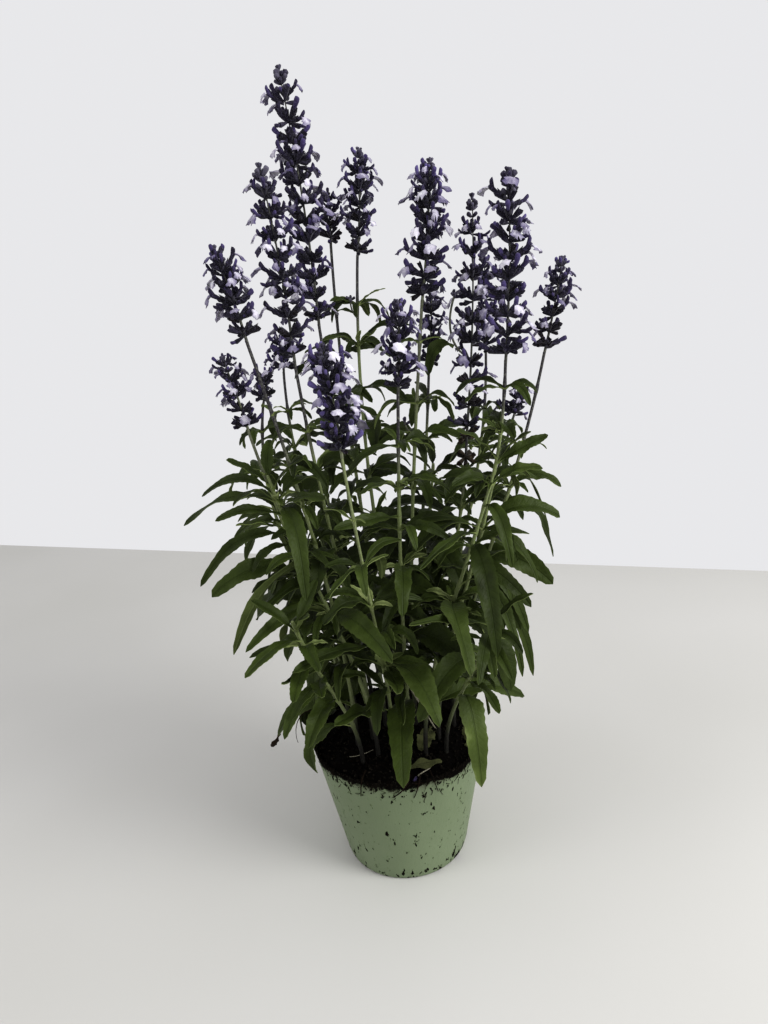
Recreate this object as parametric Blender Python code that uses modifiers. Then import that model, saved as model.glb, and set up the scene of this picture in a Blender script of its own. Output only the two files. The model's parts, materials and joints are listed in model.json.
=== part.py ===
"""Potted mealycup sage, about 0.6 m tall, in a tapered grower's pot of 140 mm.

Metres, +Z up. The origin is the centre of the pot's foot, on the surface it stands on, and -Y is the front.
Each leafy stem and each flower spike is one fused node, and no node touches another.
"""

import math
import random
from collections import namedtuple

import bmesh
import bpy
from mathutils import Matrix, Vector
from mathutils.bvhtree import BVHTree

MM = 0.001
NAME = "potted_mealycup_sage"
SEED = 7

# The pot, a turned and tapered shell
POT_TOP_RADIUS = 70 * MM
POT_FOOT_RADIUS = 50 * MM
POT_HEIGHT = 105 * MM
POT_WALL = 1.4 * MM
POT_FLOOR = 2.0 * MM
POT_FOOT_ROUND = 3.0 * MM
POT_SIDES = 30
DRAIN_HOLES = 4
DRAIN_RADIUS = 4.5 * MM
DRAIN_RING = 34 * MM
DRAIN_SIDES = 6

# The soil, a lumpy plug with a plain hole for each stem
SOIL_EDGE = POT_HEIGHT - 5 * MM
SOIL_DOME = 5 * MM
SOIL_LUMP = 1.5 * MM
SOIL_RINGS = (48 * MM, 24 * MM)
SOIL_FOOT_ROUND = 3 * MM
SOIL_SIDES = 16
GAP = 0.3 * MM
FOOT_DEPTH = 18 * MM
HOLE_ABOVE = 8 * MM

# Stems: square rods, with their radius at the foot, at the neck under the flowers and at the tip of the spike
FOOT_RADIUS = 2.6 * MM
NECK_RADIUS = 1.5 * MM
TIP_RADIUS = 0.8 * MM
STEM_STEPS = 5
STEM_RISE = 0.30
NECK_EASE = 0.42
SPIKE_BOW = (0.03, 0.02, 0)
SPIKE_CORE = 1.8 * MM
SHOOT_LEAN = 0.3
ROOT_OUT = 0.5 * MM

# Leaves: a folded lance-shaped blade on a short stalk, with a waved edge
STALK_SHARE = 0.13
STALK_HALF = 1.1 * MM
HALF_THICK, THINNER_AT_TIP = 0.65 * MM, 0.25 * MM
FOLD = 0.35
WAVE = 0.10
FULLNESS = 0.8
CLEARANCE = 0.35 * MM
# How far a leaf is rolled about its midrib, in radians: its front edge down, and a part that differs from leaf to leaf
ROLL_FORWARD, ROLL_SPREAD, ROLL_WAVE = 0.42, 0.34, 0.9
FIRST_PAIR = 142 * MM
# No leaf of a pair hangs lower than this within this much of the middle and this near the front: soil shows there
BARE_BELOW, BARE_HALF, BARE_BACK = 130 * MM, 57 * MM, 5 * MM
# Over a stem's pairs, from the lowest to the top one: length, how much longer halfway and shorter at the top,
# how steeply they set out and how far they droop from that, in degrees, each with its spread
PAIR_LENGTH, LONGER_HALFWAY, SHORTER_AT_TOP = 92 * MM, 20 * MM, 42 * MM
PAIR_RISE, STEEPER_AT_TOP, RISE_SPREAD = 18, 30, 8
PAIR_DROOP, LESS_AT_TOP, DROOP_SPREAD = 104, 22, 18
HEADING_SPREAD = 14
WIDTH_SHARES = (0.19, 0.25)
# What is tried, in degrees and shares of the length, until a leaf is clear of the others
SHRINKS = (1, 0.8, 0.62)
TURNS = (0, 10, -10, 20, -20, 32, -32, 45, -45)
SAGS = (0, 16, -16, -34)
OUTLINE_TURNS = (0, 4, -4, 8, -8, 13, -13, 20, -20, 28, -28)
OUTLINE_RISES = (0, 8, -8, 16, 24)
FLORET_TURNS = (0, 17, -17, 34)
SHOOT_END_LEAVES = 3
SHOOT_END_RISES = (55, 45, 66)
SHOOT_END_BELOW, SHOOT_END_STEP = 4 * MM, 3 * MM
SHOOT_END_LENGTH, SHOOT_END_WIDTH, SHOOT_END_DROOP = 36 * MM, 10 * MM, 30
# Sections along a leaf, as shares of its length, by the least length that takes them
STATIONS = (
    (95 * MM, (0, 0.13, 0.34, 0.58, 0.80)),
    (64 * MM, (0, 0.20, 0.46, 0.74)),
    (40 * MM, (0, 0.36, 0.70)),
    (0, (0, 0.45)),
)

# Florets: a club of calyx and hood, widest past its middle, and on the open ones a pointed lip that hangs
FLORET_LENGTH = 19 * MM
FLORET_RADIUS = 4.0 * MM
FLORET_WIDEST = 0.62
LIP_DROP = 6 * MM
LIP_REACH = 0.30
FIRST_WHORL = 0.35
WHORL_FLORETS = 4
BUD_FLORETS = 3
BUDS_FROM = 0.8
WHORL_TWIST = 0.137
FLORET_RISE, FLORET_STEEPER_AT_TIP = 22, 30
OPEN_SHARE, OPEN_BETWEEN = 0.45, (0.1, 0.85)
SMALLER_AT_TIP = 0.35

# A stem, in mm: foot (x, y) on the soil, neck (x, y, z) where flowers or the shoot's end begin, tip of the spike,
# whorls of florets, leaf pairs, height of the top pair, and the first pair's heading in degrees
Stem = namedtuple("Stem", "name foot neck tip whorls pairs leaf_top heading")
STEMS = (
    Stem("tall_left", (-10, 6), (-31, 10, 430), (-40, 10, 591), 13, 4, 330, 20),
    Stem("mid_left", (-21, -8), (-48, -20, 408), (-56, -20, 530), 10, 4, 330, 75),
    Stem("outer_left", (-33, -17), (-75, -40, 425), (-88, -40, 483), 6, 4, 310, 10),
    Stem("low_left", (-39, 2), (-87, -10, 362), (-98, -10, 414), 5, 4, 300, 50),
    Stem("back_short", (-6, 34), (-20, 84, 488), (-19, 88, 524), 4, 4, 370, 35),
    Stem("back_middle", (4, 20), (0, 66, 476), (8, 68, 550), 7, 5, 410, 0),
    Stem("front", (-3, -38), (-19, -92, 357), (-24, -90, 421), 8, 3, 250, 30),
    Stem("back_left_low", (-34, 22), (-84, 56, 372), (-79, 58, 396), 2, 3, 320, 80),
    Stem("back_left", (-20, 38), (-69, 88, 392), (-68, 90, 418), 3, 3, 330, 15),
    Stem("middle_right", (15, 3), (42, 0, 440), (53, 0, 528), 8, 4, 340, 60),
    Stem("front_right", (9, -19), (19, -50, 385), (23, -52, 442), 6, 4, 320, 85),
    Stem("back_right", (20, 28), (49, 66, 388), (55, 70, 450), 5, 3, 330, 25),
    Stem("long_right", (30, 11), (72, 30, 340), (84, 30, 508), 11, 4, 280, 70),
    Stem("tall_right", (32, -15), (92, -33, 398), (98, -32, 514), 10, 4, 350, 5),
    Stem("back_far_right", (35, 30), (96, 74, 396), (98, 78, 470), 6, 3, 320, 40),
    Stem("outer_right", (46, 0), (128, 10, 397), (142, 10, 461), 6, 2, 300, 65),
    Stem("bud_right", (47, 18), (112, 52, 344), (119, 54, 364), 2, 3, 290, 10),
    Stem("shoot_left", (-17, -31), (-70, -60, 340), None, 0, 3, 322, 45),
    Stem("shoot_low_left", (-29, -38), (-62, -86, 248), None, 0, 2, 226, 10),
    Stem("shoot_right", (20, -34), (82, -58, 345), None, 0, 3, 320, 30),
    Stem("shoot_low_right", (36, -34), (72, -80, 240), None, 0, 2, 216, 60),
    Stem("shoot_back_left", (-12, 50), (-46, 92, 292), None, 0, 4, 270, 20),
    Stem("shoot_back_right", (24, 46), (50, 98, 302), None, 0, 4, 280, 50),
)

# The leaves that make the outline, in mm: the stem, the root's height, the tip, the width, and how steeply the
# leaf sets out, in degrees
OutlineLeaf = namedtuple("OutlineLeaf", "stem root tip width rise")
OUTLINE_LEAVES = (
    OutlineLeaf("shoot_left", 322, (-133, -45, 307), 10, 28),
    OutlineLeaf("shoot_left", 328, (-119, -40, 325), 9, 35),
    OutlineLeaf("shoot_left", 312, (-104, -75, 317), 8, 25),
    OutlineLeaf("shoot_left", 300, (-87, -95, 319), 8, 30),
    OutlineLeaf("shoot_left", 318, (-49, -105, 270), 15, 20),
    OutlineLeaf("shoot_left", 318, (-32, -85, 328), 11, 30),
    OutlineLeaf("low_left", 282, (-137, -15, 250), 11, 25),
    OutlineLeaf("low_left", 292, (-113, 10, 276), 9, 30),
    OutlineLeaf("outer_left", 262, (-107, -70, 220), 13, 35),
    OutlineLeaf("shoot_left", 240, (-94, -90, 231), 11, 30),
    OutlineLeaf("shoot_low_left", 232, (-90, -120, 229), 12, 30),
    OutlineLeaf("shoot_left", 205, (-88, -80, 211), 11, 10),
    OutlineLeaf("shoot_low_left", 205, (-69, -115, 220), 7, 10),
    OutlineLeaf("shoot_low_left", 185, (-76, -95, 167), 12, 20),
    OutlineLeaf("shoot_low_left", 215, (-62, -125, 212), 12, 10),
    OutlineLeaf("shoot_low_left", 170, (-62, -90, 155), 17, 35),
    OutlineLeaf("front", 150, (-42, -90, 171), 16, 40),
    OutlineLeaf("shoot_low_left", 195, (-46, -110, 205), 13, 30),
    OutlineLeaf("outer_left", 258, (-73, -80, 250), 12, 10),
    OutlineLeaf("front", 215, (-61, -115, 227), 12, 20),
    OutlineLeaf("shoot_right", 335, (114, -55, 350), 10, 35),
    OutlineLeaf("outer_right", 290, (131, 5, 242), 10, 30),
    OutlineLeaf("outer_right", 300, (133, 25, 254), 10, 40),
    OutlineLeaf("outer_right", 262, (115, -10, 228), 12, 30),
    OutlineLeaf("shoot_right", 262, (95, -80, 241), 14, 25),
    OutlineLeaf("outer_right", 230, (105, -20, 192), 13, 35),
    OutlineLeaf("shoot_right", 245, (87, -85, 193), 11, 35),
    OutlineLeaf("outer_right", 205, (110, -10, 149), 12, 35),
    OutlineLeaf("shoot_low_right", 212, (76, -105, 203), 10, 30),
    OutlineLeaf("shoot_low_right", 190, (81, -70, 164), 11, 15),
    OutlineLeaf("shoot_low_right", 224, (63, -120, 209), 11, 20),
    OutlineLeaf("shoot_low_right", 175, (68, -100, 176), 13, 30),
    OutlineLeaf("shoot_low_right", 160, (55, -90, 112), 20, 45),
    OutlineLeaf("front_right", 142, (-5, -100, 125), 19, 50),
    OutlineLeaf("front_right", 158, (4, -90, 167), 10, 30),
    OutlineLeaf("front", 190, (2, -115, 206), 15, 20),
    OutlineLeaf("front", 195, (-9, -110, 232), 8, 30),
    OutlineLeaf("shoot_low_right", 200, (14, -110, 181), 20, 35),
    OutlineLeaf("shoot_right", 275, (68, -100, 217), 18, 25),
    OutlineLeaf("shoot_right", 305, (82, -85, 272), 12, 25),
    OutlineLeaf("shoot_right", 285, (23, -90, 278), 10, 25),
    OutlineLeaf("shoot_low_right", 228, (13, -110, 250), 10, 25),
    OutlineLeaf("front_right", 300, (-30, -70, 303), 11, 20),
)

# Dead leaves that lie on the soil: where, heading in degrees, length and width in mm
FALL_FROM = POT_HEIGHT + 5 * MM
FALL_STEP = 0.2 * MM
FALL_STEPS = 80
Fallen = namedtuple("Fallen", "x y heading length width")
FALLEN = (
    Fallen(2, -52, 12, 30, 9),
    Fallen(27, -1, -78, 34, 12),
    Fallen(52, -28, 115, 36, 14),
)

# A leaf's midrib is a curve from its root, by a bend, to its tip, and the blade is rolled about it
Leaf = namedtuple("Leaf", "root bend tip width roll")
Floret = namedtuple("Floret", "root axis size open")


def bezier(points, t):
    """Point at share t of the curve that these three or four points steer."""
    while len(points) > 1:
        points = [a.lerp(b, t) for a, b in zip(points, points[1:])]
    return points[0]


def polar(heading, rise):
    """Unit vector at these angles from +X and from level."""
    return Vector((math.cos(heading) * math.cos(rise), math.sin(heading) * math.cos(rise), math.sin(rise)))


def soil_height(x, y):
    """Height of the soil's top: a low dome with three waves over it."""
    out = math.hypot(x, y) / POT_TOP_RADIUS
    waves = math.sin(140 * x + 1.3) + math.sin(170 * y + 90 * x) + math.sin(230 * x - 120 * y + 2.1)
    return SOIL_EDGE + SOIL_DOME * (1 - out * out) + SOIL_LUMP * waves / 2


def spike_direction(stem):
    """Unit vector up the spike, or the way the end of a shoot with no flowers points."""
    neck = Vector(stem.neck)
    if stem.tip:
        return (Vector(stem.tip) - neck).normalized()
    return Vector((neck.x * SHOOT_LEAN, neck.y * SHOOT_LEAN, 100)).normalized()


def stem_line(stem):
    """Points from the bottom of the stem's hole to its neck: straight out of the soil, then in one easy bend."""
    x, y = (v * MM for v in stem.foot)
    ground = Vector((x, y, soil_height(x, y)))
    neck = Vector(stem.neck) * MM
    reach = (neck - ground).length
    start, end = ground + Vector((0, 0, reach * STEM_RISE)), neck - spike_direction(stem) * reach * NECK_EASE
    steer = [ground, start, end, neck]
    return [ground - Vector((0, 0, FOOT_DEPTH))] + [bezier(steer, i / STEM_STEPS) for i in range(STEM_STEPS + 1)]


def spike_line(stem):
    """Points of the spike's core, a little clear of its stem, with a slight bow."""
    start = Vector(stem.neck) * MM + spike_direction(stem) * GAP * 2
    end = Vector(stem.tip) * MM
    bow = Vector(SPIKE_BOW) * (end - start).length
    steer = [start, start.lerp(end, 0.5) + bow, end]
    return [bezier(steer, i / 2) for i in range(3)]


def at_height(points, z):
    """Point where a rising line passes height z."""
    for a, b in zip(points, points[1:]):
        if b.z >= z:
            return a.lerp(b, (z - a.z) / (b.z - a.z))
    return points[-1].copy()


def at_share(points, share):
    """Point at a share of a spike's height."""
    return at_height(points, points[0].z + (points[-1].z - points[0].z) * share)


def rod(points, first_radius, last_radius):
    """Mesh of a square tapered rod through the points, with its caps welded."""
    data = bpy.data.curves.new("rod", "CURVE")
    data.dimensions = "3D"
    data.bevel_depth = 1.0
    data.bevel_resolution = 0
    data.use_fill_caps = True
    spline = data.splines.new("POLY")
    spline.points.add(len(points) - 1)
    for i, point in enumerate(points):
        spline.points[i].co = (*point, 1)
        spline.points[i].radius = first_radius + (last_radius - first_radius) * i / (len(points) - 1)
    guide = bpy.data.objects.new("rod", data)
    bpy.context.scene.collection.objects.link(guide)
    mesh = bpy.data.meshes.new_from_object(guide.evaluated_get(bpy.context.evaluated_depsgraph_get()))
    bpy.data.objects.remove(guide)
    bm = bmesh.new()
    bm.from_mesh(mesh)
    bmesh.ops.remove_doubles(bm, verts=bm.verts, dist=1e-6)
    bmesh.ops.recalc_face_normals(bm, faces=bm.faces)
    bm.to_mesh(mesh)
    bm.free()
    return mesh


def half_width(t):
    """Half of the blade's width at share t of its length, for a blade 1 wide."""
    if t <= STALK_SHARE:
        return 0.0
    u = (t - STALK_SHARE) / (1 - STALK_SHARE)
    return 0.5 * math.sin(math.pi * u**FULLNESS) ** FULLNESS


def blade(leaf, stations, grow=0.0):
    """Bmesh of a leaf, a loft of thin four-cornered sections that fold up along the midrib and end in a point.

    The faces on both sides of the blade are split along the same diagonals, so that a waved blade never crosses
    itself. `grow` swells it, to test the room round it.
    """
    steer = [leaf.root, leaf.bend, leaf.tip]
    bm = bmesh.new()
    rings = []
    for k, t in enumerate(stations):
        point = bezier(steer, t)
        ahead = (bezier(steer, t + 0.02) - point).normalized()
        level = (leaf.tip - leaf.root) * Vector((1, 1, 0))
        side = Matrix.Rotation(leaf.roll, 3, ahead) @ Vector((-level.y, level.x, 0)).normalized()
        up = ahead.cross(side)
        wide = max(STALK_HALF, half_width(t) * leaf.width * (1 + (WAVE if k % 2 else -WAVE))) + grow
        lift = up * FOLD * max(0.0, wide - STALK_HALF)
        thick = up * (HALF_THICK - THINNER_AT_TIP * t + grow)
        rings.append([bm.verts.new(p) for p in (
            point + side * wide + lift, point + thick, point - side * wide + lift, point - thick)])
    for a, b in zip(rings, rings[1:]):
        for k, far in ((0, 1), (2, 1), (0, 3), (2, 3)):
            bm.faces.new((a[k], b[k], b[far]))
            bm.faces.new((a[k], b[far], a[far]))
    end = bm.verts.new(leaf.tip)
    for k in range(4):
        bm.faces.new((rings[-1][k], end, rings[-1][(k + 1) % 4]))
    bm.faces.new(rings[0])
    bmesh.ops.recalc_face_normals(bm, faces=bm.faces)
    return bm


def floret_bmesh(floret, grow=0.0):
    """Bmesh of a floret: a three-sided club, turned on the open ones so that its lowest corner hangs as a lip."""
    axis = floret.axis.normalized()
    turn = axis.to_track_quat("Z", "X").to_matrix().to_4x4() @ Matrix.Rotation(math.pi * floret.open, 4, "Z")
    long, radius = FLORET_LENGTH * floret.size, FLORET_RADIUS * floret.size + grow
    middle = floret.root + axis * long / 2
    size = Matrix.Diagonal((radius, radius, long / 2 + grow, 1))
    place = Matrix.Translation(middle) @ turn @ size
    bm = bmesh.new()
    bmesh.ops.create_uvsphere(bm, u_segments=3, v_segments=2, radius=1, matrix=place)
    ring = [v for v in bm.verts if abs((v.co - middle).dot(axis)) < long / 4]
    bmesh.ops.translate(bm, verts=ring, vec=axis * long * (FLORET_WIDEST - 0.5))
    if floret.open:
        lip = min(ring, key=lambda v: v.co.z)
        lip.co += axis * long * LIP_REACH - Vector((0, 0, LIP_DROP * floret.size))
    return bm


class Space:
    """What has been placed so far, to keep each new piece clear of the pieces of other nodes."""

    def __init__(self):
        self.placed = []

    @staticmethod
    def box(bm):
        low = Vector(min(v.co[i] for v in bm.verts) for i in range(3))
        high = Vector(max(v.co[i] for v in bm.verts) for i in range(3))
        return low, high

    def add(self, owner, bm):
        self.placed.append((owner, *self.box(bm), BVHTree.FromBMesh(bm)))

    def add_mesh(self, owner, mesh):
        bm = mesh_bmesh(mesh)
        self.add(owner, bm)
        bm.free()

    def is_clear(self, owner, bm, own=False):
        """Whether the piece crosses nothing of the other nodes, or with `own` nothing of its own node."""
        low, high = self.box(bm)
        tree = BVHTree.FromBMesh(bm)
        for other, a, b, placed in self.placed:
            apart = any(low[i] > b[i] or high[i] < a[i] for i in range(3))
            if (other == owner) == own and not apart and tree.overlap(placed):
                return False
        return True


def mesh_bmesh(mesh):
    bm = bmesh.new()
    bm.from_mesh(mesh)
    return bm


def stations_of(leaf):
    length = (leaf.bend - leaf.root).length + (leaf.tip - leaf.bend).length
    return next(stations for least, stations in STATIONS if length >= least)


def natural_roll(root, tip):
    """Roll of the leaf between these points."""
    level = ((tip - root) * Vector((1, 1, 0))).normalized()
    return ROLL_FORWARD * level.x + ROLL_SPREAD * math.sin(ROLL_WAVE * (root.z + tip.x) / MM)


def grown_leaf(axis, heading, rise, droop, length, width):
    """Leaf that sets out at `rise` and is `droop` lower at its end, rooted on its own side of the stem's axis."""
    root = axis + polar(heading, 0) * ROOT_OUT
    bend = root + polar(heading, rise) * length / 2
    tip = bend + polar(heading, rise - droop) * length / 2
    return Leaf(root, bend, tip, width, natural_roll(root, tip))


def hides_soil(leaf):
    return leaf.tip.z < BARE_BELOW and leaf.tip.y < BARE_BACK and abs(leaf.tip.x) < BARE_HALF


def outline_leaf(axis, wanted, turn, rise):
    """Leaf of the outline, with its tip swung by `turn` round the stem and its stalk raised by `rise` if need be."""
    level = Matrix.Rotation(turn, 3, "Z") @ (Vector(wanted.tip) * MM - axis)
    heading = math.atan2(level.y, level.x)
    root = axis + polar(heading, 0) * ROOT_OUT
    bend = root + polar(heading, math.radians(wanted.rise) + rise) * level.length / 2
    tip = axis + level
    return Leaf(root, bend, tip, wanted.width * MM, natural_roll(root, tip))


def place_leaf(space, owner, make, tries):
    """First of the tried leaves that is clear of every other node and, past its stalk, of its own, or None."""
    for attempt in tries:
        leaf = make(*attempt)
        stations = stations_of(leaf)
        whole, past_stalk = blade(leaf, stations, CLEARANCE), blade(leaf, stations[1:], CLEARANCE)
        clear = space.is_clear(owner, whole) and space.is_clear(owner, past_stalk, own=True)
        whole.free()
        past_stalk.free()
        if clear:
            return leaf
    return None


def stem_leaves(stem, line, space, rng):
    """The outline's leaves, then opposite pairs, each turned a quarter from the one below, and a shoot's end."""
    owner = "stem_" + stem.name
    leaves = []

    def keep(leaf):
        if leaf:
            bm = blade(leaf, stations_of(leaf))
            space.add(owner, bm)
            bm.free()
            leaves.append(leaf)

    for wanted in OUTLINE_LEAVES:
        if wanted.stem == stem.name:
            axis = at_height(line, wanted.root * MM)
            tries = [(axis, wanted, math.radians(turn), math.radians(rise))
                     for turn in OUTLINE_TURNS for rise in OUTLINE_RISES]
            keep(place_leaf(space, owner, outline_leaf, tries))
    top = stem.leaf_top * MM
    for k in range(stem.pairs):
        share = k / max(1, stem.pairs - 1)
        root = at_height(line, FIRST_PAIR + (top - FIRST_PAIR) * share)
        for half in range(2):
            spread = rng.uniform(-HEADING_SPREAD, HEADING_SPREAD)
            heading = math.radians(stem.heading + 90 * k + 180 * half + spread)
            middle = math.sin(math.pi * min(1, share * 1.25))
            length = PAIR_LENGTH + LONGER_HALFWAY * middle - SHORTER_AT_TOP * share**2
            length *= rng.uniform(0.88, 1.1)
            rise = math.radians(PAIR_RISE + STEEPER_AT_TOP * share + rng.uniform(-RISE_SPREAD, RISE_SPREAD))
            droop = math.radians(PAIR_DROOP - LESS_AT_TOP * share + rng.uniform(-DROOP_SPREAD, DROOP_SPREAD))
            width = length * rng.uniform(*WIDTH_SHARES)
            tries = [(root, heading + math.radians(turn), rise, droop + math.radians(sag), length * scale, width)
                     for scale in SHRINKS for turn in TURNS for sag in SAGS]
            leaf = place_leaf(space, owner, grown_leaf, tries)
            if leaf and not hides_soil(leaf):
                keep(leaf)
    if not stem.tip:
        for k in range(SHOOT_END_LEAVES):
            heading = math.radians(stem.heading + 360 * k / SHOOT_END_LEAVES + 45)
            axis = at_height(line, line[-1].z - SHOOT_END_BELOW - SHOOT_END_STEP * k)
            tries = [(axis, heading, math.radians(rise), math.radians(SHOOT_END_DROOP), SHOOT_END_LENGTH,
                      SHOOT_END_WIDTH) for rise in SHOOT_END_RISES]
            keep(place_leaf(space, owner, grown_leaf, tries))
    return leaves


def fallen_leaf(fallen, owner, space):
    """Dead leaf, let down on the soil from above until it all but touches something, in the first clear heading."""
    for turn in (0, 15, -15, 30, -30, 50, -50, 75, -75):
        heading = math.radians(fallen.heading + turn)
        resting = None
        for step in range(FALL_STEPS):
            root = Vector((fallen.x * MM, fallen.y * MM, FALL_FROM - step * FALL_STEP))
            ahead = polar(heading, 0) * fallen.length * MM
            leaf = Leaf(root, root + ahead / 2 + Vector((0, 0, 2 * MM)), root + ahead, fallen.width * MM, 0)
            bm = blade(leaf, STATIONS[1][1], CLEARANCE)
            clear = space.is_clear(owner, bm)
            bm.free()
            if not clear:
                break
            resting = leaf
        if resting:
            return resting
    return None


def spike_florets(stem, line, space, rng):
    """Florets in whorls, open in the middle of the spike, shut and smaller towards its tip."""
    owner = "flowers_" + stem.name
    florets = []
    for k in range(stem.whorls):
        share = (k + FIRST_WHORL) / stem.whorls
        root = at_share(line, share)
        size = 1.0 - SMALLER_AT_TIP * share**3
        count = BUD_FLORETS if share > BUDS_FROM else WHORL_FLORETS
        for n in range(count):
            heading = math.tau * (n / count + k * WHORL_TWIST) + rng.uniform(-0.15, 0.15)
            rise = math.radians(FLORET_RISE + FLORET_STEEPER_AT_TIP * share + rng.uniform(-10, 10))
            is_open = rng.random() < OPEN_SHARE and OPEN_BETWEEN[0] < share < OPEN_BETWEEN[1]
            scale = rng.uniform(0.92, 1.06)
            for turn in FLORET_TURNS:
                turned_to = heading + math.radians(turn)
                out = polar(turned_to, 0) * ROOT_OUT
                floret = Floret(root + out, polar(turned_to, rise), size * scale, is_open)
                test = floret_bmesh(floret, CLEARANCE)
                clear = space.is_clear(owner, test)
                test.free()
                if clear:
                    break
            if clear:
                bm = floret_bmesh(floret)
                space.add(owner, bm)
                bm.free()
                florets.append(floret)
    return florets


def principled(name, colour, roughness):
    material = bpy.data.materials.new(name)
    material.use_nodes = True
    shader = material.node_tree.nodes["Principled BSDF"]
    shader.inputs["Base Color"].default_value = (*colour, 1)
    shader.inputs["Roughness"].default_value = roughness
    shader.inputs["Metallic"].default_value = 0.0
    return material


def add_object(name, mesh, collection, material=None):
    obj = bpy.data.objects.new(name, mesh)
    collection.objects.link(obj)
    if material:
        mesh.materials.clear()
        mesh.materials.append(material)
    return obj


def apply_modifiers(obj):
    """Replaces the object's mesh by its evaluated one."""
    mesh = bpy.data.meshes.new_from_object(obj.evaluated_get(bpy.context.evaluated_depsgraph_get()))
    obj.modifiers.clear()
    obj.data = mesh


def boolean(obj, operation, operands):
    modifier = obj.modifiers.new(operation.lower(), "BOOLEAN")
    modifier.operation = operation
    modifier.operand_type = "COLLECTION"
    modifier.collection = operands
    modifier.solver = "EXACT"


def clear_collection(collection):
    for obj in list(collection.objects):
        bpy.data.objects.remove(obj)


def keep_largest_body(mesh):
    """Drops loose scraps and fills sealed hollows, which are all bodies of their own beside the largest one."""
    bm = mesh_bmesh(mesh)
    left, bodies = set(bm.verts), []
    while left:
        body, edge = set(), [left.pop()]
        while edge:
            vert = edge.pop()
            body.add(vert)
            near = {e.other_vert(vert) for e in vert.link_edges} & left
            left -= near
            edge += near
        bodies.append(body)
    keep = max(bodies, key=len)
    bmesh.ops.delete(bm, geom=[v for v in bm.verts if v not in keep], context="VERTS")
    bmesh.ops.triangulate(bm, faces=bm.faces)
    bm.to_mesh(mesh)
    bm.free()


def fuse(name, base, pieces, collection, operands, material):
    """One solid of the base mesh and the pieces, each a bmesh, joined by one union."""
    obj = add_object(name, base, collection, material)
    for bm in pieces:
        mesh = bpy.data.meshes.new(name)
        bm.to_mesh(mesh)
        bm.free()
        add_object(name + "_piece", mesh, operands)
    boolean(obj, "UNION", operands)
    apply_modifiers(obj)
    clear_collection(operands)
    keep_largest_body(obj.data)


def turned(name, profile, sides, collection, material):
    """Solid turned round the Z axis from (radius, height) points that run from its top down its outer side."""
    mesh = bpy.data.meshes.new(name)
    mesh.from_pydata([(r, 0, z) for r, z in profile], [(i, i + 1) for i in range(len(profile) - 1)], [])
    obj = add_object(name, mesh, collection, material)
    screw = obj.modifiers.new("screw", "SCREW")
    screw.steps = screw.render_steps = sides
    screw.use_merge_vertices = True
    screw.merge_threshold = 1e-5
    return obj


def build_pot(collection, cutters, material):
    taper = (POT_TOP_RADIUS - POT_FOOT_RADIUS) / POT_HEIGHT

    def outer(z):
        return POT_FOOT_RADIUS + taper * z

    rounding = [(outer(0) - POT_FOOT_ROUND * (1 - math.cos(a)), POT_FOOT_ROUND * (1 - math.sin(a)))
                for a in (math.radians(45), math.radians(90))]
    profile = [(0, POT_FLOOR), (outer(POT_FLOOR) - POT_WALL, POT_FLOOR), (POT_TOP_RADIUS - POT_WALL, POT_HEIGHT),
               (POT_TOP_RADIUS, POT_HEIGHT), (outer(POT_FOOT_ROUND), POT_FOOT_ROUND), *rounding, (0, 0)]
    pot = turned("pot", profile, POT_SIDES, collection, material)
    apply_modifiers(pot)
    for k in range(DRAIN_HOLES):
        heading = math.tau * k / DRAIN_HOLES
        bm = bmesh.new()
        place = Matrix.Translation(Vector((math.cos(heading), math.sin(heading), 0)) * DRAIN_RING)
        bmesh.ops.create_cone(bm, cap_ends=True, segments=DRAIN_SIDES, radius1=DRAIN_RADIUS, radius2=DRAIN_RADIUS,
                              depth=4 * POT_FLOOR, matrix=place)
        mesh = bpy.data.meshes.new("drain")
        bm.to_mesh(mesh)
        bm.free()
        add_object("drain", mesh, cutters)
    boolean(pot, "DIFFERENCE", cutters)
    apply_modifiers(pot)
    clear_collection(cutters)
    return pot


def build_soil(collection, cutters, material):
    taper = (POT_TOP_RADIUS - POT_FOOT_RADIUS) / POT_HEIGHT
    inner = (POT_FOOT_RADIUS - POT_WALL) * math.cos(math.pi / POT_SIDES) - GAP * 1.5
    foot = POT_FLOOR + GAP
    slope = foot + SOIL_FOOT_ROUND
    edge = inner + taper * SOIL_EDGE
    rings = [(r, SOIL_EDGE) for r in reversed(SOIL_RINGS)]
    profile = [(0, SOIL_EDGE), *rings, (edge, SOIL_EDGE), (inner + taper * slope, slope),
               (inner - SOIL_FOOT_ROUND, foot), (0, foot)]
    soil = turned("soil", profile, SOIL_SIDES, collection, material)
    apply_modifiers(soil)
    for vert in soil.data.vertices:
        if vert.co.z > SOIL_EDGE - 1e-5:
            vert.co.z = soil_height(vert.co.x, vert.co.y)
    for stem in STEMS:
        line = stem_line(stem)
        wide = FOOT_RADIUS + GAP * math.sqrt(2)
        below, above = line[0] - Vector((0, 0, GAP)), line[1] + Vector((0, 0, HOLE_ABOVE))
        add_object("hole", rod([below, above], wide, wide), cutters)
    boolean(soil, "DIFFERENCE", cutters)
    apply_modifiers(soil)
    clear_collection(cutters)
    keep_largest_body(soil.data)
    return soil


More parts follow.
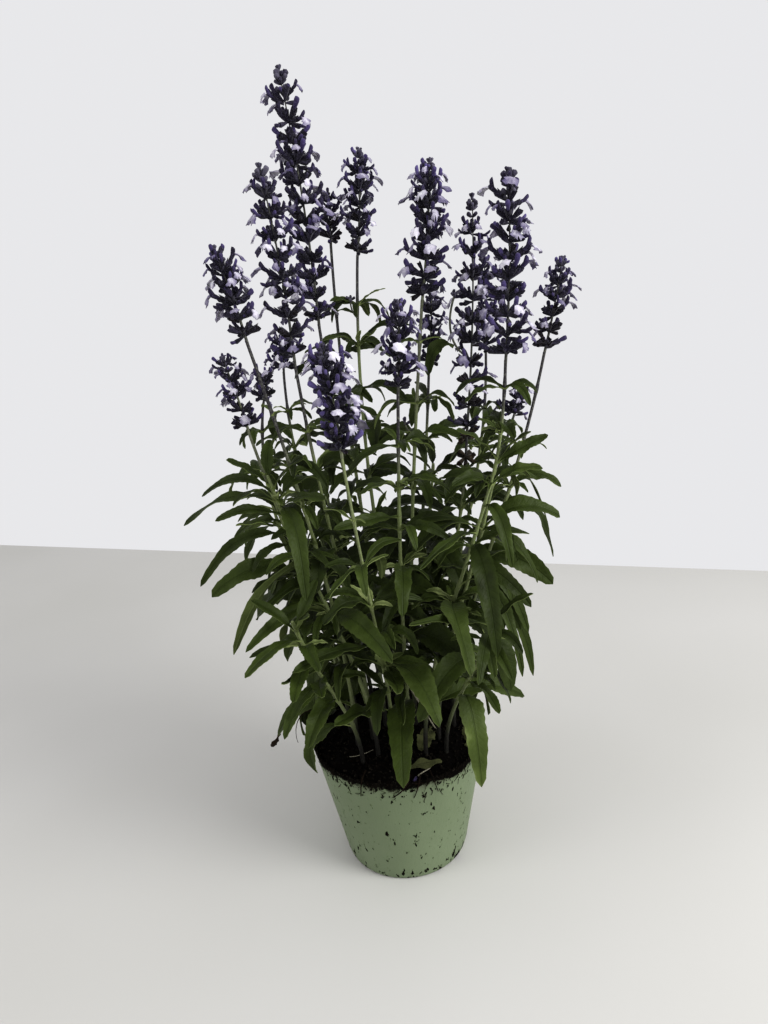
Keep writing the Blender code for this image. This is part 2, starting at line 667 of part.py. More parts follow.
def main():
    for obj in list(bpy.data.objects):
        bpy.data.objects.remove(obj)
    plant = bpy.data.collections.new(NAME)
    cutters = bpy.data.collections.new(NAME + "_cutters")
    for collection in (plant, cutters):
        bpy.context.scene.collection.children.link(collection)
    green = principled("leaf", (0.045, 0.115, 0.03), 0.5)
    violet = principled("flower", (0.07, 0.045, 0.20), 0.7)
    straw = principled("dead_leaf", (0.42, 0.36, 0.16), 0.8)
    space = Space()
    plastic = principled("pot_plastic", (0.28, 0.40, 0.27), 0.5)
    peat = principled("peat", (0.012, 0.010, 0.008), 0.95)
    for obj in (build_pot(plant, cutters, plastic), build_soil(plant, cutters, peat)):
        space.add_mesh(obj.name, obj.data)
    lines, rods = {}, {}
    for stem in STEMS:
        lines[stem.name] = stem_line(stem)
        rods["stem_" + stem.name] = rod(lines[stem.name], FOOT_RADIUS, NECK_RADIUS)
        if stem.tip:
            rods["flowers_" + stem.name] = rod(spike_line(stem), SPIKE_CORE, TIP_RADIUS)
    for owner, mesh in rods.items():
        space.add_mesh(owner, mesh)
    florets, leaves = {}, {}
    for place, stem in enumerate(STEMS):
        if stem.tip:
            florets[stem.name] = spike_florets(stem, spike_line(stem), space, random.Random(SEED + place))
    for place, stem in enumerate(STEMS):
        leaves[stem.name] = stem_leaves(stem, lines[stem.name], space, random.Random(SEED * 31 + place))
    for stem in STEMS:
        name = "stem_" + stem.name
        blades = [blade(leaf, stations_of(leaf)) for leaf in leaves[stem.name]]
        fuse(name, rods[name], blades, plant, cutters, green)
        if stem.tip:
            name = "flowers_" + stem.name
            clubs = [floret_bmesh(floret) for floret in florets[stem.name]]
            fuse(name, rods[name], clubs, plant, cutters, violet)
    for number, fallen in enumerate(FALLEN, 1):
        name = f"fallen_leaf_{number}"
        bm = blade(fallen_leaf(fallen, name, space), STATIONS[1][1])
        space.add(name, bm)
        mesh = bpy.data.meshes.new(name)
        bm.to_mesh(mesh)
        bm.free()
        add_object(name, mesh, plant, straw)


main()
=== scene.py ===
"""Looks of the potted mealycup sage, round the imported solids.

Metres, +Z up, -Y to the front. The layout's tables are the solids' own, so every leaf and floret lies where
its node has it. Each node of repeats is replaced by one finer piece, and small leaves fill in what the solids
leave out.
"""

import json
import math
import random
from collections import namedtuple
from functools import partial

import bmesh
import bpy
import numpy as np
from mathutils import Matrix, Vector, noise
from mathutils.bvhtree import BVHTree
from mathutils.kdtree import KDTree

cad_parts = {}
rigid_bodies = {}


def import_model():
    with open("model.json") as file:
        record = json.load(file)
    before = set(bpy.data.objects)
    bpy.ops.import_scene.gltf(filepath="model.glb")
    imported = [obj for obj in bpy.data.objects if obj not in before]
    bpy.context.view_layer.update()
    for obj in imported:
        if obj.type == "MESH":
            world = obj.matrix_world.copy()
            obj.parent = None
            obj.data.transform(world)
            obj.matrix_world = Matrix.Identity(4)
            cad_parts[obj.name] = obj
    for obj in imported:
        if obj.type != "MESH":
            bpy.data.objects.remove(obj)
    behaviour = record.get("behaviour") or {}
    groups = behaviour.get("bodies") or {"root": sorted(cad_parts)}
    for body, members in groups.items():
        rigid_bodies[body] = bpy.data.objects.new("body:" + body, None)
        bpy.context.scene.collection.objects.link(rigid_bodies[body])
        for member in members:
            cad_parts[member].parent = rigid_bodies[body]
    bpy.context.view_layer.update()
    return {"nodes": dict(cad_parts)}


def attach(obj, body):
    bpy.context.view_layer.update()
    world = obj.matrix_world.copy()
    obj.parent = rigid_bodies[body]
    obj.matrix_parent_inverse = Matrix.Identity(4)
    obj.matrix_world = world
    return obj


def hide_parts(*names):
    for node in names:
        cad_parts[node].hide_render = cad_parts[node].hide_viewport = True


for started_with in list(bpy.data.objects):
    bpy.data.objects.remove(started_with)
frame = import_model()

MM = 0.001
SEED = 7
UP = Vector((0, 0, 1))

# The pot and its soil, as the solids have them
POT_TOP_RADIUS, POT_FOOT_RADIUS, POT_HEIGHT = 70 * MM, 50 * MM, 105 * MM
POT_TAPER = (POT_TOP_RADIUS - POT_FOOT_RADIUS) / POT_HEIGHT
POT_WALL, POT_FLOOR, POT_FOOT_ROUND = 1.4 * MM, 2.0 * MM, 3.0 * MM
DRAIN_HOLES, DRAIN_RADIUS, DRAIN_RING = 4, 4.5 * MM, 34 * MM
SOIL_EDGE, SOIL_DOME, SOIL_LUMP = POT_HEIGHT - 5 * MM, 5 * MM, 1.5 * MM
GAP, FOOT_DEPTH = 0.3 * MM, 18 * MM

# Stems, as the solids have them: radii, and how a stem leaves the soil and meets its spike
FOOT_RADIUS, NECK_RADIUS, TIP_RADIUS = 2.6 * MM, 1.5 * MM, 0.8 * MM
STEM_STEPS, STEM_RISE, NECK_EASE, SPIKE_BOW, SHOOT_LEAN = 5, 0.30, 0.42, (0.03, 0.02, 0), 0.3
ROOT_OUT = 0.5 * MM

# Leaves, as the solids have them: the blade's outline, fold and roll, then the pairs up a stem, with what is
# tried where a leaf would touch another (shares of length, and turns and sags in degrees)
STALK_SHARE, FULLNESS, FOLD = 0.13, 0.8, 0.35
HALF_THICK, THINNER_AT_TIP = 0.65 * MM, 0.25 * MM
ROLL_FORWARD, ROLL_SPREAD, ROLL_WAVE = 0.42, 0.34, 0.9
FIRST_PAIR = 142 * MM
PAIR_LENGTH, LONGER_HALFWAY, SHORTER_AT_TOP, LENGTH_SHARES = 92 * MM, 20 * MM, 42 * MM, (0.88, 1.1)
PAIR_RISE, STEEPER_AT_TOP, RISE_SPREAD = 18, 30, 8
PAIR_DROOP, LESS_AT_TOP, DROOP_SPREAD = 104, 22, 18
HEADING_SPREAD, WIDTH_SHARES = 14, (0.19, 0.25)
SHRINKS, TURNS, SAGS = (1, 0.8, 0.62), (0, 10, -10, 20, -20, 32, -32, 45, -45), (0, 16, -16, -34)
OUTLINE_TURNS, OUTLINE_RISES = (0, 4, -4, 8, -8, 13, -13, 20, -20, 28, -28), (0, 8, -8, 16, 24)
SHOOT_END_LEAVES, SHOOT_END_RISES, SHOOT_END_BELOW, SHOOT_END_STEP = 3, (55, 45, 66), 4 * MM, 3 * MM
SHOOT_END_LENGTH, SHOOT_END_WIDTH, SHOOT_END_DROOP = 36 * MM, 10 * MM, 30

# Where a blade's solid has its sections, by the least length that has so many
STATIONS = (
    (95 * MM, (0, 0.13, 0.34, 0.58, 0.80)),
    (64 * MM, (0, 0.20, 0.46, 0.74)),
    (40 * MM, (0, 0.36, 0.70)),
    (0, (0, 0.45)),
)

# Florets, as the solids have them: whorls up the spike by share of its height, angles in degrees
FLORET_LENGTH, FIRST_WHORL, WHORL_FLORETS, BUD_FLORETS, BUDS_FROM = 19 * MM, 0.35, 4, 3, 0.8
WHORL_TWIST, WHORL_SPREAD, FLORET_RISE, FLORET_STEEPER_AT_TIP, FLORET_SPREAD = 0.137, 0.15, 22, 30, 10
OPEN_SHARE, OPEN_BETWEEN, SMALLER_AT_TIP, FLORET_SIZES = 0.45, (0.1, 0.85), 0.35, (0.92, 1.06)
FLORET_TURNS = (0, 17, -17, 34)

# Fallen leaves, as the solids have them: heights and turns tried as a leaf settles, and its arch
FALL_FROM, FALL_STEP, FALL_STEPS, FALL_ARCH = POT_HEIGHT + 5 * MM, 0.2 * MM, 80, 2 * MM
FALL_TURNS = (0, 15, -15, 30, -30, 50, -50, 75, -75)

# Leaves: how fine they are, and how they depart from their solids' folded strips
LEAF_COLUMNS, LEAF_ROWS = 6, 26
MIDDLE_COLUMNS, MIDDLE_ROWS = 4, 18
SMALL_COLUMNS, SMALL_ROWS = 4, 12
LEAF_THICK, STALK_THICK, STALK_WIDE, TIP_NARROWS = 0.45 * MM, 1.3 * MM, 0.7 * MM, 0.75
SLENDER_HALF, FULLER, BLUNTNESS, KEEL_ROUND, KEEL_DEPTH = 0.49 * 0.84, 0.9, 0.5, 0.02, 0.14
TOOTH, RUFFLE, RUFFLES, RUFFLE_SHARES, RUFFLE_SHIFT = 0.045, 0.30, (1.4, 3.4), (0.3, 1.2), 2.2
EDGE_ROLL, FOLDS, LEAF_STEP = 0.35, (0.25, 0.8), 0.01
SWAY, SWELL, SWELLS, TWIST = 0.05, 0.022, (0.8, 2.0), 0.55
# How much paler a leaf is at its stalk and how far up that reaches, and how much paler at its edge, which is
# a painted highlight where the rolled edge catches light
BASE_PALE, BASE_REACH, EDGE_HIGHLIGHT = 0.4, 0.14, 0.10

# Stems: sides, rings along one, how deep a spike's core starts in its stem in mm, thickness as a share of the
# solid's, and the swelling at each pair of leaves
STEM_SIDES, STEM_RINGS, CORE_RINGS, THREAD_SIDES, THREAD_RINGS, CORE_BELOW = 8, 72, 24, 5, 14, 3
FLAT_SIDE, SLIMMER, SLIMMEST = 0.78, 0.68, {"front": 0.82}
NODE_SWELL, NODE_REACH = 0.45, 3.5 * MM

# Tone up a stem: near black at its foot, its own woody brown darkened as painted shade under the leaves, then
# green, and dusky under the flowers, with the stems that stay paler there
WOODY_SHADED_FROM, WOODY_SHADED_TO, GREEN_TONE, DUSKY = 165 * MM, 120 * MM, 0.12, 2.2
PALE_STEMS = {"front": 0.25, "middle_right": 0.6, "low_left": 0.6}
CORE_TONE, PALE_CORE_TONE = 0.9, 0.5

# Added leaves, by kind: how many at a place, how far from their pair's heading in degrees, length in mm, rise
# and droop in degrees, width as a share of length, and tone with its spread
Added = namedtuple("Added", "counts spreads lengths rises droops widths tone")
ADDED = {
    "mid": Added((1,), (0, 20), (55, 85), (10, 45), (75, 115), (0.15, 0.21), (0.06, 0.16)),
    "axil": Added((1, 2), (15, 60), (36, 62), (15, 55), (60, 105), (0.16, 0.23), (0.14, 0.2)),
    "sprig": Added((1, 2, 3), (20, 80), (14, 30), (30, 65), (25, 70), (0.22, 0.30), (0.65, 0.2)),
    "bract": Added((1,), (0, 20), (18, 38), (25, 55), (40, 80), (0.15, 0.22), (0.5, 0.2)),
}
BRACT_STEP, BRACT_SPACING, BRACT_TURN, BRACT_END, ADDED_END = 30 * MM, (1.0, 1.5), 20, 25 * MM, 4 * MM
TRIES, TRY_TURN, SHORTER_AFTER, SHORTER_TRY, SHORTER_ABOVE = 5, 25, 2, 0.85, 0.25

# Tone of leaves: the solids' own, kept low so that the inner leaves stay dark as painted shade, and how much
# paler they get high up, at the outside and near the pot, which is painted light
OWN_TONE = (0.06, 0.14)
HIGH_FROM, HIGH_TO, HIGH_LIT_TONE = 150 * MM, 400 * MM, 0.15
OUTER_FROM, OUTER_TO, OUTER_LIT_TONE, SIDEWAYS = 20 * MM, 90 * MM, 0.35, 0.8
LOW_FROM, LOW_TO, LOW_LIT_TONE = 180 * MM, 130 * MM, 0.12

# Leaves whose blades face the front more broadly than their solids: by stem and height of the root in mm, the
# share of breadth and the added roll
FACED = {("front_right", 142): (1.3, 0), ("shoot_low_right", 160): (1.12, 0), ("outer_left", 262): (1.3, 0.8)}

# Room for added leaves: shares of a blade's length where its strip has points, and what they keep clear of
STRIP_SHARES, STRIP_CLEAR, STRIP_EVERY = (0.2, 0.4, 0.62, 0.82, 1.0), 0.6 * MM, 6
LOWEST_LEAF, POT_CLEAR, SPIKE_ROOM = POT_HEIGHT + 5 * MM, 5 * MM, 5 * MM
OPEN_SOIL_TOP, OPEN_SOIL_RADIUS, OPEN_SOIL_BACK = POT_HEIGHT + 50 * MM, 110 * MM, 25 * MM
OUTLINE_HEIGHTS = (0.10, 0.15, 0.22, 0.30, 0.36, 0.42, 0.50)
OUTLINE_RADII = (90, 105, 130, 135, 125, 110, 90)

# Florets, in mm: the calyx with its ribs and teeth, the share of it that is stalk, its sunk mouth, and its
# radii by share of its length; then the lip, with its notch, frill, lobes and wave
CALYX_FROM, CALYX_LENGTH, CALYX_RIB, CALYX_RIBS = 1.5, 7.0, 0.09, 4
CALYX_TOOTH, CALYX_TEETH, TEETH_FROM, CALYX_STALK = 0.8, 3, 0.95, 0.25
CUP_RIM, CUP_SINK = 0.22, 0.2
CALYX_SHARES, CALYX_RADII = (0, 0.22, 0.6, 1.0), (0.5, 1.1, 1.6, 1.85)
LIP_FROM, LIP_UNDER, LIP_NOTCH, NOTCH_WIDE, LIP_THICK, LIP_BASE = 12.5, 0.6, 0.2, 0.22, 0.3 * MM, 1.2 * MM
LIP_AHEAD, LIP_DOWN, LIP_OUT, LIP_ASIDE, LIP_TURN = (1.4, 3.0), (2.8, 6.2), (0.2, 3.6), 1.5, 0.5
LIP_NECK, LIP_HALF, LIP_WIDTHS, LIP_ROUND, LIP_CURLS = 0.7, 3.4, (0.5, 1.1), 0.22, (0.2, 0.9)
LIP_FRILL, LIP_FRILLS, LIP_LOBES, LOBES, LIP_WAVE, LIP_WAVES = 0.2, 11, 0.09, 9, 0.7, (6, 5)
LIP_BEND_DOWN, LIP_BEND_OUT, LIP_OPENS, LIP_CURL, LIP_SHADE = 0.8, 1.4, 0.62, 1.8, 0.6

# Clubs of a floret, in mm: the tube, the hood of an open one and of a shut one, a young bud and the hood that
# peeps out of it, the club at a spike's tip and the buds round it. Each has its start, its length, its radii
# at both ends, how far it hooks upward, and how slim it is from side to side
TUBE_FROM, TUBE_LENGTH, TUBE_RADII, TUBE_HOOK, TUBE_SHADE = 6.5, 7.5, (1.1, 1.6), 0.3, 0.7
HOOD_FROM, HOOD_LENGTHS, HOOD_RADII, HOOD_HOOKS, HOOD_SLIM = 9.5, (5.0, 7.0), (1.0, 2.05), (2.0, 4.5), 0.8
SHUT_SHARE, SHUT_LENGTHS, SHUT_RADII, SHUT_HOOKS, SHUT_SLIM = 0.7, (4.0, 8.0), (0.9, 2.15), (0.3, 2.2), 0.9
YOUNG_BUD_FROM, YOUNG_BUD_LENGTHS, YOUNG_BUD_RADII, YOUNG_BUD_HOOK = 0.5, (5.0, 7.5), (1.2, 2.5), 0.8
PEEP_BACK, PEEP_LENGTHS, PEEP_RADII, PEEP_HOOK, PEEP_SLIM = 2, (4, 6.5), (1.2, 1.9), 1.5, 0.95
TIP_CLUB, TIP_BUD, TWIG_BUD = (0, 7.5, (2.0, 2.0), 0), (0, 8.5, (1.5, 2.6), 0.3), (0, 7.5, (1.4, 2.4), 0.5)
CLUB_OPENS, CLUB_ROUND, CLUB_BENDS = 1.6, 0.55, 1.4

# Tones of a floret's parts
FADED_TONES, CALYX_TONES, HOOD_TONES, LIP_TONES = (0.0, 0.25), (0.3, 0.75), (0.1, 0.8), (-0.1, 0.95)

# Added florets: how many to a whorl, their size, how many hang low, their spread, rise in degrees and lift
MORE_FLORETS, MORE_BUDS, MORE_SIZE, MORE_SIZES = 9, 6, 0.86, (0.75, 1.0)
LOW_FLORETS, LOW_RISES, MORE_RISES, MORE_SPREAD, MORE_LIFTS = 0.3, (-25, 8), (4, 62), 0.3, (-2.5, 3.5)
MORE_OPEN, FEWER_OPEN, OPEN_UNTIL = 0.42, {"front": 0.2}, 0.92

# Where a spike turns to buds, by share of its height; a club at its tip, and tiers of buds round it by height
# below the tip in mm, steepness in degrees and size
YOUNG_FROM, YOUNG_UNTIL, YOUNG_OPEN, YOUNG_TONE = 0.88, 0.93, 0.6, 0.25
TIP_CLUB_SIZE, TIP_CLUB_BELOW, TIP_CLUB_TONE, TIP_BUDS, TIP_BUD_OUT = 0.55, 4, 0.9, 4, 0.3
TIP_SPREAD, TIP_RISE_SPREAD, TIP_SIZES, TIP_TONES = 0.2, 8, (0.85, 1.1), (0.7, 1.0)
TIP_TIERS = ((2.5, 62, 0.42), (6.5, 44, 0.5), (10.5, 34, 0.58), (15, 28, 0.62))

# What differs from spike to spike: fresher colour, broader whorls, broader tops, and withered low florets
FRESH = {"front": 0.12, "middle_right": 0.1, "tall_right": 0.1}
USUAL_BREADTH = 1.06
BROADER = {"tall_right": 1.26, "middle_right": 1.3, "tall_left": 1.13, "outer_left": 1.16, "long_right": 1.2,
           "front": 1.17}
FULLER_TOPS = {"tall_left": 0.4, "mid_left": 0.35, "back_middle": 0.1, "tall_right": 0.15}
USUALLY_FADED, FADED_BELOW = 0.15, 1.6
FADED = {"tall_left": 0.25, "back_short": 0.8, "back_middle": 0.6, "long_right": 0.7, "outer_right": 0.6}

# The sharpest edges in degrees that are shaded smooth, on any shape, on a crumb, on the pot and on the peat
CREASE, CRUMB_CREASE, POT_CREASE, PEAT_CREASE = 55, 20, 40, 180

# The pot and its peat: how fine they are, how rough the peat is, and the crumbs on it and at the rim, in mm
POT_STEPS, POT_RINGS, DRAIN_STEPS, ARC_STEPS, FOOT_ARC, RIM_ARC = 128, 16, 24, 6, (-90, -8), (5, 175)
SOIL_STEPS, SOIL_RINGS, SOIL_SKIRT = 96, 26, 40 * MM
SOIL_ROUGH, ROUGH_SCALE, ROUGH_FRACTAL = 1.6 * MM, 160, (0.9, 2.1, 4)
CRUMBS, CRUMB_SIZES, RIM_CRUMBS, RIM_CRUMB_SIZES = 1500, (0.5, 2.6), 900, (0.2, 0.9)
CRUMB_SIDES, CRUMB_PROUD, RIM_CRUMB_PROUD = ((0.6, 1.5), (0.5, 1.0), (0.4, 0.8)), 0.2, 0.4
RIM_REACH, RIM_OUTSIDE, RIM_SPREAD, RIM_GATHER, RIM_PROUD = 14 * MM, 0.6, (-0.7, 0.5), 2.5, 0.25

# Short fibres over the rim and below it, in mm, with their turn in radians
FIBRES, FIBRE_REACH, FIBRE_LENGTHS, FIBRE_RADII, FIBRE_OUT = 150, 14, (2.5, 12), (0.14, 0.34), 0.15
FIBRE_TURN, FIBRE_BOW, FIBRE_SPREAD, FIBRE_FALLS, FIBRE_SAGS = 0.07, 1.01, 0.6, (0.2, 1.0), (0.2, 0.8)

# Roots over the rim, pale roots with a leaning dry stalk, and a dry thread at the left: each with its radius
# and the points that steer it, in mm
DRY_ROOTS = (
    (0.9, ((6, -58, 103), (5, -76, 113), (2, -71.5, 99), (-8, -67.4, 92))),
    (0.7, ((14, -58, 103), (13, -74, 112), (11, -70.5, 99), (7.5, -66.9, 89.6))),
    (0.7, ((-27, -48, 103), (-30, -69, 112), (-31, -66, 100), (-31.8, -59.3, 89.4))),
    (0.6, ((21, -54, 103), (22, -70, 111), (24, -67, 100), (26, -62.2, 90))),
)
PALE_ROOTS = (
    (0.35, ((-42, -26.4, 101.5), (-38, -34, 105), (-28, -34, 107), (-20.2, -22.9, 103.5))),
    (0.6, ((12, -60.5, 103.5), (16, -60, 107), (21, -57, 106), (22, -52, 103.5))),
    (0.45, ((9, -30, 99), (12, -33, 104), (6, -37, 104), (2, -40, 101))),
    (1.1, ((8, 2, 152), (15, 1, 136), (24, -2, 116), (34, -3, 97))),
)
DRY_THREAD = (0.45, ((-64, -30, 147), (-74, -30, 149), (-81, -31, 134), (-78, -30, 120)))
THREAD_TAPER, THREAD_TONE = 0.6, 0.3

# Side twigs and their bud tips, in mm; a shed flower on the peat with its heading in degrees
TWIGS = (
    (0.8, ((75, 30, 397), (63, 30, 404), (60, 30, 422), (68, 30, 441))),
    (0.6, ((-4, 62, 430), (-8, 60, 434), (-9, 59, 440), (-8, 59, 445))),
    (0.6, ((31, 1, 348), (27, -3, 349), (24, -4, 352), (24, -4, 358))),
)
BUD_TIPS = ((68, 30, 443), (-8, 59, 445), (24, -4, 358))
TWIG_TONE, BUD_RISES, BUD_DROP, BUD_SIZE, BUD_TONES = 0.8, (10, 75), 4, 0.55, (0.5, 1.0)
SHED_FLOWER, SHED_RISE, SHED_SIZE, SHED_TONE = ((11, -60, 102.8), -115), -0.1, 0.75, 0.7
SHED_CLUB = (0, 8, (1.2, 2.4), 0.5)

# Odd leaves, in mm: root, bend, tip, width, and roll in radians; dead leaves' breadth, for 1 of a solid's
SIDE_LEAF = ((65.5, 30, 405), (49, 30, 416), (45, 30, 385), 12, -1.2)
BROWN_END = ((-93, -23, 124), (-98, -27, 117), (-100, -19, 111), 8, 0.3)
ODD_TONE, DEAD_BREADTH, DEAD_TONES = 0.2, 1.4, (0.3, 0.9)

# Dried whorls under a spike: their heights, and their calyxes' rise in degrees, lift in mm and size
DRY_STEM, DRY_WHORLS, DRY_FLORETS = "long_right", (320 * MM, 338 * MM), 11
DRY_RISES, DRY_LIFT, DRY_SIZES = (-35, 40), 3, (0.75, 1.2)

# Colours, as seen in daylight, from each ramp's low end to its high end
LEAF_UPPER_COLOURS = ((0.0, "#181f07"), (0.45, "#38441a"), (0.75, "#4e5b2c"), (1.0, "#808a5a"))
LEAF_UNDER_COLOURS = ((0.0, "#414a28"), (0.5, "#5c673b"), (1.0, "#879260"))
# The upper side's rib colour is darker than its blade: painted shade in the creases of the midrib and veins.
# The underside's paler rib is the leaf's own colour.
LEAF_UPPER_CREASE_SHADE, LEAF_UNDER_RIB, DEAD_RIB = "#2c3812", "#7f8b5c", "#5a5d3d"
# A stem's ramp starts near black: the woody foot's own brown, darkened as painted shade under the canopy
STEM_COLOURS = ((0.0, "#120f09"), (0.12, "#727d4e"), (0.5, "#62664f"), (1.0, "#29252b"))
CALYX_COLOURS = ((0.0, "#170f0b"), (0.35, "#15121b"), (0.7, "#262132"), (1.0, "#5f5c69"))
DRY_CALYX_COLOURS = ((0.0, "#100b08"), (0.5, "#1e1812"), (1.0, "#41372b"))
HOOD_COLOURS = ((0.0, "#17131e"), (0.4, "#2b243e"), (0.75, "#433963"), (1.0, "#675d8e"))
STEM_DOWN, CALYX_DUST, DRY_CALYX_DUST, HOOD_DUST = "#999c88", "#77738c", "#6f6455", "#827b9e"
LIP_COLOURS = ((0.0, "#dcdae0"), (0.25, "#c3c0ca"), (0.5, "#918c9e"), (0.85, "#524a6d"))
POT_COLOURS = ((0.3, "#6d7a5e"), (0.7, "#788569"))
POT_STAIN, POT_SMEAR, POT_FLECK = "#4b4a3d", "#0a0806", "#14110d"
PEAT_COLOURS = ((0.3, "#020101"), (0.55, "#060403"), (0.75, "#1a140e"))
CRUMB_COLOURS = ((0.3, "#050403"), (0.55, "#14110d"), (0.75, "#4a4338"))
ROOT_COLOURS = ((0.3, "#0e0a07"), (0.7, "#2a2017"))
PALE_ROOT_COLOURS = ((0.3, "#85816f"), (0.7, "#b3af9d"))
DEAD_COLOURS = ((0.0, "#262315"), (0.45, "#3a3c23"), (0.8, "#525537"))
BROWN_COLOURS = ((0.0, "#17100a"), (0.45, "#2c2014"), (0.8, "#4c3b27"))
FLOOR_COLOURS = ((0.3, "#c1c0bc"), (0.7, "#c7c6c3"))

# The studio; each light's name, place, size and power
WORLD_COLOUR, WORLD_STRENGTH, VIEW_GAMMA = "#ececee", 1.0, 0.82
FLOOR_NEAR, FLOOR_FAR, FLOOR_HALF, FLOOR_TURN = -1.4, 0.65, 3.0, math.radians(-19)
LIGHTS = (("key_light", (1.25, -0.8, 1.15), 0.9, 27), ("fill_light", (-1.5, -0.6, 1.3), 0.8, 7),
          ("front_light", (0.3, -1.7, 0.6), 0.8, 2.5))
LIGHTS_AIM = Vector((0, 0, 0.28))
CAMERA_PLACE, CAMERA_LENS = (0.0035, -0.515, 0.445), 36 * 720 / 1024
CAMERA_DOWN, CAMERA_ROLL = math.radians(16.65), math.radians(4.9)

# A stem, in mm: foot (x, y) on the soil, neck (x, y, z) where flowers or the shoot's end begin, tip of the
# spike, whorls of florets, leaf pairs, height of the top pair, and the first pair's heading in degrees
Stem = namedtuple("Stem", "name foot neck tip whorls pairs leaf_top heading")
STEMS = [Stem(*row) for row in (
    ("tall_left", (-10, 6), (-31, 10, 430), (-40, 10, 591), 13, 4, 330, 20),
    ("mid_left", (-21, -8), (-48, -20, 408), (-56, -20, 530), 10, 4, 330, 75),
    ("outer_left", (-33, -17), (-75, -40, 425), (-88, -40, 483), 6, 4, 310, 10),
    ("low_left", (-39, 2), (-87, -10, 362), (-98, -10, 414), 5, 4, 300, 50),
    ("back_short", (-6, 34), (-20, 84, 488), (-19, 88, 524), 4, 4, 370, 35),
    ("back_middle", (4, 20), (0, 66, 476), (8, 68, 550), 7, 5, 410, 0),
    ("front", (-3, -38), (-19, -92, 357), (-24, -90, 421), 8, 3, 250, 30),
    ("back_left_low", (-34, 22), (-84, 56, 372), (-79, 58, 396), 2, 3, 320, 80),
    ("back_left", (-20, 38), (-69, 88, 392), (-68, 90, 418), 3, 3, 330, 15),
    ("middle_right", (15, 3), (42, 0, 440), (53, 0, 528), 8, 4, 340, 60),
    ("front_right", (9, -19), (19, -50, 385), (23, -52, 442), 6, 4, 320, 85),
    ("back_right", (20, 28), (49, 66, 388), (55, 70, 450), 5, 3, 330, 25),
    ("long_right", (30, 11), (72, 30, 340), (84, 30, 508), 11, 4, 280, 70),
    ("tall_right", (32, -15), (92, -33, 398), (98, -32, 514), 10, 4, 350, 5),
    ("back_far_right", (35, 30), (96, 74, 396), (98, 78, 470), 6, 3, 320, 40),
    ("outer_right", (46, 0), (128, 10, 397), (142, 10, 461), 6, 2, 300, 65),
    ("bud_right", (47, 18), (112, 52, 344), (119, 54, 364), 2, 3, 290, 10),
    ("shoot_left", (-17, -31), (-70, -60, 340), None, 0, 3, 322, 45),
    ("shoot_low_left", (-29, -38), (-62, -86, 248), None, 0, 2, 226, 10),
    ("shoot_right", (20, -34), (82, -58, 345), None, 0, 3, 320, 30),
    ("shoot_low_right", (36, -34), (72, -80, 240), None, 0, 2, 216, 60),
    ("shoot_back_left", (-12, 50), (-46, 92, 292), None, 0, 4, 270, 20),
    ("shoot_back_right", (24, 46), (50, 98, 302), None, 0, 4, 280, 50),
)]

# The leaves that make the outline, by stem, in mm: the root's height, the tip, the width, and how steeply the
# leaf sets out, in degrees
OutlineLeaf = namedtuple("OutlineLeaf", "root tip width rise")
OUTLINE_LEAVES = {
    "shoot_left": (
        (322, (-133, -45, 307), 10, 28), (328, (-119, -40, 325), 9, 35), (312, (-104, -75, 317), 8, 25),
        (300, (-87, -95, 319), 8, 30), (318, (-49, -105, 270), 15, 20), (318, (-32, -85, 328), 11, 30),
        (240, (-94, -90, 231), 11, 30), (205, (-88, -80, 211), 11, 10)),
    "low_left": ((282, (-137, -15, 250), 11, 25), (292, (-113, 10, 276), 9, 30)),
    "outer_left": ((262, (-107, -70, 220), 13, 35), (258, (-73, -80, 250), 12, 10)),
    "shoot_low_left": (
        (232, (-90, -120, 229), 12, 30), (205, (-69, -115, 220), 7, 10), (185, (-76, -95, 167), 12, 20),
        (215, (-62, -125, 212), 12, 10), (170, (-62, -90, 155), 17, 35), (195, (-46, -110, 205), 13, 30)),
    "front": (
        (150, (-42, -90, 171), 16, 40), (215, (-61, -115, 227), 12, 20), (190, (2, -115, 206), 15, 20),
        (195, (-9, -110, 232), 8, 30)),
    "shoot_right": (
        (335, (114, -55, 350), 10, 35), (262, (95, -80, 241), 14, 25), (245, (87, -85, 193), 11, 35),
        (275, (68, -100, 217), 18, 25), (305, (82, -85, 272), 12, 25), (285, (23, -90, 278), 10, 25)),
    "outer_right": (
        (290, (131, 5, 242), 10, 30), (300, (133, 25, 254), 10, 40), (262, (115, -10, 228), 12, 30),
        (230, (105, -20, 192), 13, 35), (205, (110, -10, 149), 12, 35)),
    "shoot_low_right": (
        (212, (76, -105, 203), 10, 30), (190, (81, -70, 164), 11, 15), (224, (63, -120, 209), 11, 20),
        (175, (68, -100, 176), 13, 30), (160, (55, -90, 112), 20, 45), (200, (14, -110, 181), 20, 35),
        (228, (13, -110, 250), 10, 25)),
    "front_right": (
        (142, (-5, -100, 125), 19, 50), (158, (4, -90, 167), 10, 30), (300, (-30, -70, 303), 11, 20)),
}

# Fallen leaves, in mm: place, heading in degrees, length and width
Fallen = namedtuple("Fallen", "x y heading length width")
FALLEN = (Fallen(2, -52, 12, 30, 9), Fallen(27, -1, -78, 34, 12), Fallen(52, -28, 115, 36, 14))

# A leaf's midrib is a curve from its root, by a bend, to its tip, and the blade is rolled about it
Leaf = namedtuple("Leaf", "root bend tip width roll")
Floret = namedtuple("Floret", "root axis size open")


def bezier(points, t):
    """Point at share t of the curve that these three or four points steer."""
    while len(points) > 1:
        points = [a.lerp(b, t) for a, b in zip(points, points[1:])]
    return points[0]


def curve_of(points, steps):
    """Points in mm made a smooth line of so many steps."""
    steer = [Vector(p) * MM for p in points]
    return [bezier(steer, i / steps) for i in range(steps + 1)]


def polar(heading, rise):
    """Unit vector at these angles from +X and from level."""
    return Vector((math.cos(heading) * math.cos(rise), math.sin(heading) * math.cos(rise), math.sin(rise)))


